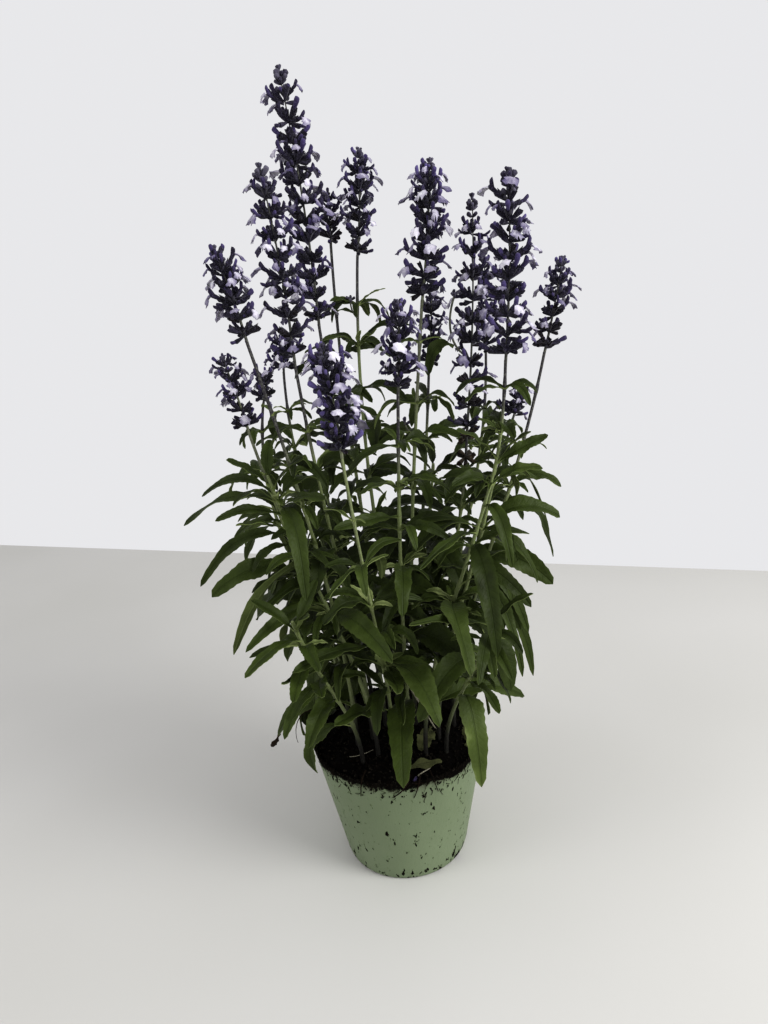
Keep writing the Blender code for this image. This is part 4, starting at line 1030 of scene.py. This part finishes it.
def leaf_tone(leaf, tone, rng):
    """Age and light of a leaf, from dark and old to pale and young, round its kind's tone: painted light
    pales it high up, at the outside and low down, and the inner leaves stay darker as painted shade.
    """
    base, spread = tone
    high = share_between(leaf.root.z, HIGH_FROM, HIGH_TO)
    outer = share_between(max(-leaf.tip.y, abs(leaf.tip.x) * SIDEWAYS), OUTER_FROM, OUTER_TO)
    low = share_between(leaf.tip.z, LOW_FROM, LOW_TO)
    lit = base + HIGH_LIT_TONE * high + OUTER_LIT_TONE * outer * (1 - high) + LOW_LIT_TONE * low
    return lit + rng.uniform(-spread, spread)


def stem_piece(stem, line, smooth_line, own, added, rng):
    """A leafy stem: its rod, its large leaves and the small ones that fill it in."""
    bm = started()
    nodes = {round(leaf.root.z, 4) for leaf in own + [leaf for leaf, kind in added]}
    last, leaf_top = len(smooth_line) - 1, stem.leaf_top * MM
    slim = SLIMMER * SLIMMEST.get(stem.name, 1)
    dusky = PALE_STEMS.get(stem.name, 1.0) if stem.tip else 0

    def radius_at(i, point):
        base = slim * (FOOT_RADIUS + (NECK_RADIUS - FOOT_RADIUS) * i / last)
        near = min((abs(point.z - z) for z in nodes), default=1)
        return base * (1 + NODE_SWELL * math.exp(-(near / NODE_REACH) ** 2))

    def tone_at(i, point):
        above = DUSKY * (point.z - leaf_top) / max(0.01, smooth_line[-1].z - leaf_top)
        # Tone 0 near the soil: the woody foot, darkened as painted shade under the leaves
        green = GREEN_TONE * share_between(point.z, WOODY_SHADED_TO, WOODY_SHADED_FROM)
        return max(min(1.0, max(0.0, above)) * dusky, green)

    grow(bm, STEM_ROD, rod_place(smooth_line, radius_at, tone_at))
    for leaf in own:
        leaf = moved_root(leaf, line, smooth_line)
        breadth, turn = FACED.get((stem.name, round(leaf.root.z / MM)), (1, 0))
        leaf = leaf._replace(width=leaf.width * breadth, roll=leaf.roll + turn)
        grow(bm, LARGE_LEAF, leaf_place(leaf, leaf_tone(leaf, OWN_TONE, rng), rng, LEAF_ROWS))
    for leaf, kind in added:
        shape, rows = (MIDDLE_LEAF, MIDDLE_ROWS) if kind in ("mid", "axil") else (SMALL_LEAF, SMALL_ROWS)
        grow(bm, shape, leaf_place(leaf, leaf_tone(leaf, ADDED[kind].tone, rng), rng, rows))
    return piece("looks_stem_" + stem.name, bm, LEAF_MATERIALS, "leaf", "stem_" + stem.name)


def floret_frame(floret):
    """The floret's own axes, ahead along it, up, and to the side, and its own millimetre."""
    ahead = floret.axis.normalized()
    up = (UP - ahead * ahead.z).normalized()
    return ahead, up, ahead.cross(up), floret.size * MM


def calyx_place(floret, tone):
    """Place of the calyx: a ribbed cup that widens from its stalk to its toothed mouth."""
    ahead, up, side, unit = floret_frame(floret)

    def place(x, y, q):
        angle = math.atan2(y, x)
        swell = np.interp(q, CALYX_SHARES, CALYX_RADII)
        rib = 1 + CALYX_RIB * math.cos(CALYX_RIBS * angle)
        tooth = CALYX_TOOTH * math.cos(angle * CALYX_TEETH) if q > TEETH_FROM else 0.0
        inward = math.hypot(x, y)
        z = (CALYX_FROM * min(1, q / CALYX_STALK) + CALYX_LENGTH * q + tooth) * unit
        out = (up * math.cos(angle) + side * math.sin(angle)) * swell * rib * inward * unit
        return floret.root + ahead * z + out, (x, q * CALYX_LENGTH, q), tone

    return place


def hood_place(floret, tone, start, length, radii, hook, slim=1):
    """Place of the upper lip or of a bud: a club with a round end that bends upward."""
    ahead, up, side, unit = floret_frame(floret)

    def place(x, y, z):
        u = (z + 1) / 2
        around = math.hypot(x, y)
        radius = (radii[0] + (radii[1] - radii[0]) * u**CLUB_OPENS) * around**CLUB_ROUND if around else 0.0
        angle = math.atan2(y, x)
        rise = hook * u**CLUB_BENDS
        co = floret.root + ahead * (start + length * u) * unit + up * (rise + math.cos(angle) * radius) * unit
        return co + side * math.sin(angle) * radius * slim * unit, (x, u, u), tone

    return place


def lip_place(floret, tone, rng):
    """Place of the lower lip: a fan that leaves the mouth forward, then hangs, with a notch in its edge."""
    ahead, up, side, unit = floret_frame(floret)
    down = Vector((0, 0, -1))
    out = Vector((ahead.x, ahead.y, 0)).normalized()
    side = Matrix.Rotation(rng.uniform(-LIP_TURN, LIP_TURN), 3, out) @ side
    start = floret.root + ahead * LIP_FROM * unit - up * LIP_UNDER * unit
    bend = start + (ahead * rng.uniform(*LIP_AHEAD) - up * LIP_BEND_DOWN + out * LIP_BEND_OUT) * unit
    hanging = down * rng.uniform(*LIP_DOWN) + out * rng.uniform(*LIP_OUT)
    steer = [start, bend, bend + (hanging + side * rng.uniform(-LIP_ASIDE, LIP_ASIDE)) * unit]
    wide = rng.uniform(*LIP_WIDTHS)
    curl, phase = rng.uniform(*LIP_CURLS), rng.uniform(0, math.tau)

    def place(s, t, upper):
        notch = LIP_NOTCH * math.exp(-(s / NOTCH_WIDE) ** 2) * t**4
        reach = t * (1 - LIP_ROUND * s * s * t) - notch + LIP_LOBES * math.sin(LOBES * s + phase) * t**3
        point = bezier(steer, reach)
        over = (bezier(steer, reach + 0.02) - point).normalized().cross(side)
        half = (LIP_NECK + LIP_HALF * math.sin(math.pi * min(0.5, t * LIP_OPENS))) * wide
        half *= 1 + LIP_FRILL * math.sin(LIP_FRILLS * t + phase + s)
        wave = LIP_WAVE * t * math.sin(LIP_WAVES[0] * s + LIP_WAVES[1] * t + phase)
        co = point + side * s * half * unit
        co += over * (curl * s * s * t * LIP_CURL + wave) * unit
        co -= over * (0 if upper else LIP_THICK + LIP_BASE * (1 - t) ** 3)
        return co, (s, t, LIP_SHADE * t + LIP_SHADE * s * s), tone

    return place


def spike_piece(stem, florets, rng):
    """A flower spike: its core, the whorls of its solid, and the smaller florets between them."""
    bm = started()
    line, ahead = spike_line(stem), spike_direction(stem)
    middle = line[0].lerp(line[2], 0.5)
    steer = [Vector(stem.neck) * MM - ahead * CORE_BELOW * MM, middle + (line[1] - middle) * 2, line[2]]
    points = [bezier(steer, i / CORE_RINGS) for i in range(CORE_RINGS + 1)]
    stem_end = PALE_CORE_TONE if stem.name in PALE_STEMS else CORE_TONE
    grow(bm, CORE_ROD, rod_place(
        points, lambda i, p: SLIMMER * NECK_RADIUS + (TIP_RADIUS - NECK_RADIUS) * i / CORE_RINGS,
        lambda i, p: stem_end))
    broad, fuller = BROADER.get(stem.name, USUAL_BREADTH), FULLER_TOPS.get(stem.name, 0)
    for share, floret in florets:
        size = floret.size * broad * (1 + fuller * share * share)
        grow_floret(bm, stem, floret._replace(size=size), share, rng)
    for k in range(stem.whorls):
        share, root, size = whorl_place(stem, line, k)
        size = size * MORE_SIZE * broad * (1 + fuller * share * share)
        count = MORE_BUDS if share > BUDS_FROM else MORE_FLORETS
        for n in range(count):
            heading = math.tau * ((n + 0.5) / count + k * WHORL_TWIST)
            heading += rng.uniform(-MORE_SPREAD, MORE_SPREAD)
            rise = math.radians(rng.uniform(*(LOW_RISES if rng.random() < LOW_FLORETS else MORE_RISES)))
            place = root + UP * (rng.uniform(*MORE_LIFTS) * MM) + polar(heading, 0) * ROOT_OUT
            floret = Floret(place, polar(heading, rise), size * rng.uniform(*MORE_SIZES), False)
            opens = rng.random() < FEWER_OPEN.get(stem.name, MORE_OPEN)
            floret = floret._replace(open=opens and OPEN_BETWEEN[0] < share < OPEN_UNTIL)
            grow_floret(bm, stem, floret, share, rng)
    club = Floret(points[-1] - ahead * TIP_CLUB_BELOW * MM, ahead, TIP_CLUB_SIZE, False)
    grow(bm, HOOD_BALL, hood_place(club, TIP_CLUB_TONE, *TIP_CLUB))
    for tier, (below, steep, size) in enumerate(TIP_TIERS):
        root = points[-1] - ahead * below * MM
        for n in range(TIP_BUDS):
            heading = math.tau * (n + tier / 2) / TIP_BUDS + rng.uniform(-TIP_SPREAD, TIP_SPREAD)
            rise = math.radians(steep + rng.uniform(-TIP_RISE_SPREAD, TIP_RISE_SPREAD))
            place = root + polar(heading, 0) * TIP_BUD_OUT * MM
            bud = Floret(place, polar(heading, rise), size * rng.uniform(*TIP_SIZES), False)
            grow(bm, HOOD_BALL, hood_place(bud, rng.uniform(*TIP_TONES), *TIP_BUD))
    return piece("looks_flowers_" + stem.name, bm, FLOWER_MATERIALS, "flower", "flowers_" + stem.name)


def grow_floret(bm, stem, floret, share, rng):
    """One floret: calyx, tube, hood and lip when open; calyx and bud when young; an empty calyx when over."""
    faded = rng.random() < FADED.get(stem.name, USUALLY_FADED) * max(0.0, 1 - share * FADED_BELOW)
    young = share > YOUNG_FROM
    tone = rng.uniform(*(FADED_TONES if faded else CALYX_TONES)) + (YOUNG_TONE if young and not faded else 0)
    if young:
        long = rng.uniform(*YOUNG_BUD_LENGTHS)
        grow(bm, HOOD_BALL, hood_place(floret, tone, YOUNG_BUD_FROM, long, YOUNG_BUD_RADII, YOUNG_BUD_HOOK))
        if share < YOUNG_UNTIL and rng.random() < YOUNG_OPEN:
            grow(bm, FLOWER_BALL, hood_place(floret, tone, long - PEEP_BACK, rng.uniform(*PEEP_LENGTHS),
                                             PEEP_RADII, PEEP_HOOK, PEEP_SLIM))
        return
    grow(bm, CALYX_CUP, calyx_place(floret, tone))
    if faded:
        return
    fresh = FRESH.get(stem.name, 0)
    hood_tone = min(1.0, rng.uniform(*HOOD_TONES) + fresh)
    if floret.open:
        grow(bm, FLOWER_BALL, hood_place(floret, hood_tone * TUBE_SHADE, TUBE_FROM, TUBE_LENGTH, TUBE_RADII,
                                         TUBE_HOOK))
        grow(bm, FLOWER_BALL, hood_place(floret, hood_tone, HOOD_FROM, rng.uniform(*HOOD_LENGTHS), HOOD_RADII,
                                         rng.uniform(*HOOD_HOOKS), HOOD_SLIM))
        grow(bm, LIP_SLAB, lip_place(floret, rng.uniform(*LIP_TONES) - fresh, rng))
    elif rng.random() < SHUT_SHARE:
        grow(bm, FLOWER_BALL, hood_place(floret, hood_tone, TUBE_FROM, rng.uniform(*SHUT_LENGTHS), SHUT_RADII,
                                         rng.uniform(*SHUT_HOOKS), SHUT_SLIM))


def closed_spin(profile, steps):
    """Bmesh of a profile in the XZ plane spun round the Z axis, whose ends on the axis close it."""
    bm = bmesh.new()
    verts = [bm.verts.new((x, 0, z)) for x, z in profile]
    edges = [bm.edges.new(pair) for pair in zip(verts, verts[1:])]
    bmesh.ops.spin(bm, geom=verts + edges, cent=(0, 0, 0), axis=(0, 0, 1), dvec=(0, 0, 0), angle=math.tau,
                   steps=steps, use_merge=True)
    bmesh.ops.remove_doubles(bm, verts=bm.verts, dist=1e-6)
    bmesh.ops.recalc_face_normals(bm, faces=bm.faces)
    return bm


def arc(centre, radius, first, last):
    """Points of an arc in a profile, between two angles in degrees."""
    angles = [math.radians(first + (last - first) * i / ARC_STEPS) for i in range(ARC_STEPS + 1)]
    return [(centre[0] + radius * math.cos(a), centre[1] + radius * math.sin(a)) for a in angles]


def pot_piece():
    """The pot, with a thin rounded rim, and with its drain holes cut through its floor."""
    wall = POT_WALL / 2
    wider, rings = POT_TOP_RADIUS - POT_FOOT_RADIUS, range(1, POT_RINGS)
    outer = [(POT_FOOT_RADIUS + wider * i / POT_RINGS, POT_HEIGHT * i / POT_RINGS) for i in rings]
    profile = [(0, 0)]
    profile += arc((POT_FOOT_RADIUS - POT_FOOT_ROUND, POT_FOOT_ROUND), POT_FOOT_ROUND, *FOOT_ARC)
    profile += [p for p in outer if p[1] > POT_FOOT_ROUND]
    profile += arc((POT_TOP_RADIUS - wall, POT_HEIGHT - wall), wall, *RIM_ARC)
    profile += [(x - POT_WALL, z) for x, z in reversed(outer) if z > POT_FLOOR + 1 * MM]
    profile += [(POT_FOOT_RADIUS - POT_WALL, POT_FLOOR), (0, POT_FLOOR)]
    bm = closed_spin(profile, POT_STEPS)
    smooth(bm, POT_CREASE)
    made = piece("looks_pot", bm, [POT_PLASTIC], "pot_plastic", "pot")
    cutter = bmesh.new()
    for k in range(DRAIN_HOLES):
        angle = math.tau * (k + 0.5) / DRAIN_HOLES
        place = Matrix.Translation((DRAIN_RING * math.cos(angle), DRAIN_RING * math.sin(angle), 0))
        bmesh.ops.create_cone(cutter, cap_ends=True, segments=DRAIN_STEPS, radius1=DRAIN_RADIUS,
                              radius2=DRAIN_RADIUS, depth=4 * POT_FLOOR, matrix=place)
    holes = linked("drain_holes", mesh_of("drain_holes", cutter))
    cut = made.modifiers.new("cut", "BOOLEAN")
    cut.object = holes
    cut.solver = "EXACT"
    drilled = bpy.data.meshes.new_from_object(made.evaluated_get(bpy.context.evaluated_depsgraph_get()))
    made.modifiers.clear()
    made.data = drilled
    bpy.data.objects.remove(holes)


def peat_height(x, y):
    """Height of the peat's rough top."""
    return soil_height(x, y) + noise.fractal(Vector((x, y, 0)) * ROUGH_SCALE, *ROUGH_FRACTAL) * SOIL_ROUGH


def crumb_place(centre, size, rng):
    """A grain's own stretched and turned form."""
    turn = Matrix.Rotation(rng.uniform(0, math.tau), 3, Vector((rng.uniform(-1, 1), rng.uniform(-1, 1), 1)))
    sides = Vector([rng.uniform(*limits) for limits in CRUMB_SIDES]) * size

    def place(x, y, z):
        return centre + turn @ Vector((x * sides.x, y * sides.y, z * sides.z)), (0, 0, 0), 0.0

    return place


def soil_piece(rng):
    """The peat: a lumpy plug with loose crumbs over it, and some on the rim and stuck below it."""
    edge = POT_TOP_RADIUS - POT_WALL - GAP - (POT_HEIGHT - SOIL_EDGE) * POT_TAPER
    deep = SOIL_EDGE - SOIL_SKIRT
    profile = [(0, SOIL_EDGE)] + [(edge * i / SOIL_RINGS, SOIL_EDGE) for i in range(1, SOIL_RINGS + 1)]
    profile += [(edge - SOIL_SKIRT * POT_TAPER, deep), (0, deep)]
    spun = closed_spin(profile, SOIL_STEPS)
    smooth(spun, PEAT_CREASE)
    bm = started()
    bm.from_mesh(mesh_of("peat_plug", spun))
    for vert in bm.verts:
        if vert.co.z > deep + 1 * MM:
            vert.co.z = peat_height(vert.co.x, vert.co.y)
    for _ in range(CRUMBS):
        out, angle = edge * math.sqrt(rng.random()), rng.uniform(0, math.tau)
        x, y = out * math.cos(angle), out * math.sin(angle)
        size = rng.uniform(*CRUMB_SIZES) * MM * rng.random() ** 0.5
        grow(bm, CRUMB, crumb_place(Vector((x, y, peat_height(x, y) + size * CRUMB_PROUD)), size, rng))
    for _ in range(RIM_CRUMBS):
        angle = rng.uniform(0, math.tau)
        size = rng.uniform(*RIM_CRUMB_SIZES) * MM
        drop = rng.random() ** RIM_GATHER * RIM_REACH
        out = POT_TOP_RADIUS - POT_WALL / 2 + rng.uniform(*RIM_SPREAD) * MM
        z = POT_HEIGHT + size * RIM_CRUMB_PROUD
        if rng.random() < RIM_OUTSIDE:
            z = POT_HEIGHT - drop
            out = POT_TOP_RADIUS - drop * POT_TAPER + size * RIM_PROUD
        grow(bm, CRUMB, crumb_place(Vector((out * math.cos(angle), out * math.sin(angle), z)), size, rng))
    piece("looks_soil", bm, [PEAT, PEAT_CRUMBS], "soil", "soil")


def rim_fibres(rng):
    """Short dark fibres that hang over the rim and stick to the pot below it."""
    fibres = []
    for _ in range(FIBRES):
        angle, drop = rng.uniform(0, math.tau), rng.random() ** 2 * FIBRE_REACH
        long = rng.uniform(*FIBRE_LENGTHS)
        out = (POT_TOP_RADIUS / MM + FIBRE_OUT) - drop * POT_TAPER
        start = (out * math.cos(angle), out * math.sin(angle), POT_HEIGHT / MM - drop)
        turn, fall = angle + rng.uniform(-FIBRE_TURN, FIBRE_TURN), rng.uniform(*FIBRE_FALLS) * long
        low = out - fall * POT_TAPER
        end = (low * math.cos(turn), low * math.sin(turn), start[2] - fall)
        middle = [(a + b) / 2 * FIBRE_BOW + rng.uniform(-FIBRE_SPREAD, FIBRE_SPREAD)
                  for a, b in zip(start[:2], end[:2])]
        radius = rng.uniform(*FIBRE_RADII)
        fibres.append((radius, (start, (*middle, start[2] - fall * rng.uniform(*FIBRE_SAGS)), end)))
    return tuple(fibres)


def grow_threads(bm, threads, tone, taper=0):
    """Adds thin rods, each with its radius and through its own points, in mm."""
    for radius, points in threads:
        grow(bm, THREAD_ROD, rod_place(curve_of(points, THREAD_RINGS),
                                       lambda i, p: radius * MM * (1 - taper * i / THREAD_RINGS),
                                       lambda i, p: tone, 1))


def thread_piece(name, threads, surface, slot):
    """Thin dry roots and stalks."""
    bm = started()
    grow_threads(bm, threads, THREAD_TONE, THREAD_TAPER)
    piece(name, bm, [surface], slot)


def dead_leaf_piece(name, fallen, rng):
    """A dry leaf on the peat, curled along its length."""
    bm = started()
    leaf = fallen_leaf(name, fallen)
    leaf = leaf._replace(width=leaf.width * DEAD_BREADTH)
    grow(bm, LARGE_LEAF, leaf_place(leaf, rng.uniform(*DEAD_TONES), rng, LEAF_ROWS, still=True))
    for face in bm.faces:
        face.material_index = 0
    piece("looks_" + name, bm, [DEAD_LEAF], "dead_leaf", name)


def side_growth(rng):
    """Thin side twigs with a few buds, and a shed flower on the peat."""
    bm = started()
    grow_threads(bm, TWIGS, TWIG_TONE)
    for place in BUD_TIPS:
        for n in range(TIP_BUDS):
            heading, rise = math.tau * n / TIP_BUDS, math.radians(rng.uniform(*BUD_RISES))
            root = Vector(place) * MM - UP * (rng.uniform(0, BUD_DROP) * MM)
            bud = Floret(root, polar(heading, rise), BUD_SIZE, False)
            grow(bm, HOOD_BALL, hood_place(bud, rng.uniform(*BUD_TONES), *TWIG_BUD))
    shed, heading = SHED_FLOWER
    lying = Floret(Vector(shed) * MM, polar(math.radians(heading), SHED_RISE), SHED_SIZE, True)
    grow(bm, FLOWER_BALL, hood_place(lying, SHED_TONE, *SHED_CLUB))
    piece("looks_side_growth", bm, FLOWER_MATERIALS, "flower")


def dry_whorls(smooth_line, rng):
    """Whorls of empty brown calyxes that are left on the stem at the foot of its spike."""
    bm = started()
    for height in DRY_WHORLS:
        root = at_height(smooth_line, height)
        for n in range(DRY_FLORETS):
            heading, rise = math.tau * n / DRY_FLORETS, math.radians(rng.uniform(*DRY_RISES))
            lift = UP * (rng.uniform(-DRY_LIFT, DRY_LIFT) * MM)
            dry = Floret(root + lift, polar(heading, rise), rng.uniform(*DRY_SIZES), False)
            grow(bm, CALYX_CUP, calyx_place(dry, rng.uniform(0.0, 1.0)))
    piece("looks_dry_whorls", bm, [DRY_CALYX, DRY_CALYX], "dead_leaf")


def odd_leaf(name, points, materials, slot, rng):
    """A small leaf through its root, bend and tip, with its width and roll last."""
    bm = started()
    leaf = Leaf(*[Vector(p) * MM for p in points[:3]], points[3] * MM, points[4])
    grow(bm, MIDDLE_LEAF, leaf_place(leaf, ODD_TONE, rng, MIDDLE_ROWS))
    piece(name, bm, materials, slot)


def studio():
    """Plain pale floor and background, the camera, a broad soft light from the right and two weak ones."""
    scene = bpy.context.scene
    scene.view_settings.view_transform = "Standard"
    scene.view_settings.gamma = VIEW_GAMMA
    world = bpy.data.worlds.new("studio")
    scene.world = world
    world.use_nodes = True
    tree = world.node_tree
    feed(tree, tree.nodes["Background"], {"Color": WORLD_COLOUR, "Strength": WORLD_STRENGTH})
    bm = bmesh.new()
    size = Matrix.Diagonal((FLOOR_HALF, (FLOOR_FAR - FLOOR_NEAR) / 2, 1, 1))
    bmesh.ops.create_grid(bm, x_segments=1, y_segments=1, size=1, matrix=Matrix.Rotation(FLOOR_TURN, 4, "Z")
                          @ Matrix.Translation((0, (FLOOR_FAR + FLOOR_NEAR) / 2, 0)) @ size)
    floor = linked("studio_floor", mesh_of("studio_floor", bm))
    floor.data.materials.append(material("studio_floor_paper", floor_paper))
    for name, place, size, power in LIGHTS:
        lamp = bpy.data.lights.new(name, "AREA")
        lamp.shape = "DISK"
        lamp.size, lamp.energy = size, power
        made = linked(name, lamp)
        made.location = place
        made.rotation_euler = (LIGHTS_AIM - Vector(place)).to_track_quat("-Z", "Y").to_euler()
    camera = bpy.data.cameras.new("camera")
    camera.lens = CAMERA_LENS
    scene.camera = linked("camera", camera)
    scene.camera.matrix_world = (Matrix.Translation(CAMERA_PLACE)
                                 @ Matrix.Rotation(math.pi / 2 - CAMERA_DOWN, 4, "X")
                                 @ Matrix.Rotation(-CAMERA_ROLL, 4, "Z"))


studio()

PEAT = material("damp_peat", earth, PEAT_COLOURS, 3.0 * MM)
PEAT_CRUMBS = material("loose_peat", earth, CRUMB_COLOURS, 1.2 * MM)
POT_PLASTIC = material("vacuum_formed_polypropylene", pot_plastic)
STEM_SKIN = material("downy_stem_skin", stem_skin)
LEAF_MATERIALS = [
    material("sage_leaf_upper_side", leaf_surface, LEAF_UPPER_COLOURS, LEAF_UPPER_CREASE_SHADE, -0.8, 0.50),
    material("sage_leaf_underside", leaf_surface, LEAF_UNDER_COLOURS, LEAF_UNDER_RIB, 1.0, 0.75),
    STEM_SKIN,
]
FLOWER_MATERIALS = [
    STEM_SKIN,
    material("mealy_calyx_felt", felt, CALYX_COLOURS, CALYX_DUST, 0.35),
    material("violet_hood_felt", felt, HOOD_COLOURS, HOOD_DUST, 0.25),
    material("lip_petal", petal),
]
DEAD_LEAF = material("dry_leaf", leaf_surface, DEAD_COLOURS, DEAD_RIB, 1.0, 0.8)
BROWN_LEAF = material("withered_leaf", leaf_surface, BROWN_COLOURS, BROWN_COLOURS[1][1], 1.0, 0.8)
DRY_CALYX = material("dry_calyx", felt, DRY_CALYX_COLOURS, DRY_CALYX_DUST, 0.3)
DRY_ROOT = material("dry_root", earth, ROOT_COLOURS, 2.0 * MM)
PALE_ROOT = material("pale_root", earth, PALE_ROOT_COLOURS, 2.0 * MM)

LARGE_LEAF = slab_shape("large_leaf", LEAF_COLUMNS, LEAF_ROWS)
MIDDLE_LEAF = slab_shape("middle_leaf", MIDDLE_COLUMNS, MIDDLE_ROWS)
SMALL_LEAF = slab_shape("small_leaf", SMALL_COLUMNS, SMALL_ROWS)
STEM_ROD = rod_shape("stem_rod", STEM_SIDES, STEM_RINGS, 2)
CORE_ROD = rod_shape("core_rod", STEM_SIDES, CORE_RINGS, 0)
THREAD_ROD = rod_shape("thread_rod", THREAD_SIDES, THREAD_RINGS, 0)
CALYX_CUP, HOOD_BALL = rod_shape("calyx_cup", 8, 4, 1, mouth=True), ball_shape("calyx_bud", 8, 6, 1)
FLOWER_BALL, LIP_SLAB = ball_shape("hood", 8, 6, 2), slab_shape("lip", 6, 4, 3, 3)
CRUMB = crumb_shape("crumb", 1)

pot_piece()
soil_piece(random.Random(SEED * 5))

lines = {stem.name: stem_line(stem, STEM_STEPS) for stem in STEMS}
smooth_lines = {stem.name: stem_line(stem, STEM_RINGS - 1) for stem in STEMS}
room = Room()
own_leaves = {}
for place, stem in enumerate(STEMS):
    own_leaves[stem.name] = stem_leaves(stem, lines[stem.name], random.Random(SEED * 31 + place))
    room.add(rod_strip(smooth_lines[stem.name][::STRIP_EVERY], FOOT_RADIUS))
    for leaf in own_leaves[stem.name]:
        room.add(leaf_strip(leaf))
    if stem.tip:
        room.add(rod_strip(spike_line(stem), SPIKE_ROOM))
for place, stem in enumerate(STEMS):
    rng = random.Random(SEED * 97 + place)
    added = added_leaves(stem, smooth_lines[stem.name], rng, room)
    stem_piece(stem, lines[stem.name], smooth_lines[stem.name], own_leaves[stem.name], added, rng)
    if stem.tip:
        florets = spike_florets(stem, spike_line(stem), random.Random(SEED + place))
        spike_piece(stem, florets, random.Random(SEED * 53 + place))

for place, fallen in enumerate(FALLEN):
    dead_leaf_piece(f"fallen_leaf_{place + 1}", fallen, random.Random(SEED * 11 + place))
thread_piece("looks_dry_roots", DRY_ROOTS + rim_fibres(random.Random(SEED * 17)), DRY_ROOT, "soil")
thread_piece("looks_dry_thread", (DRY_THREAD,), DRY_ROOT, "dead_leaf")
thread_piece("looks_pale_roots", PALE_ROOTS, PALE_ROOT, "soil")
side_growth(random.Random(SEED * 19))
dry_whorls(smooth_lines[DRY_STEM], random.Random(SEED * 37))
odd_leaf("looks_side_leaf", SIDE_LEAF, LEAF_MATERIALS, "leaf", random.Random(SEED * 23))
odd_leaf("looks_brown_leaf_end", BROWN_END, [BROWN_LEAF, BROWN_LEAF], "dead_leaf", random.Random(SEED * 29))
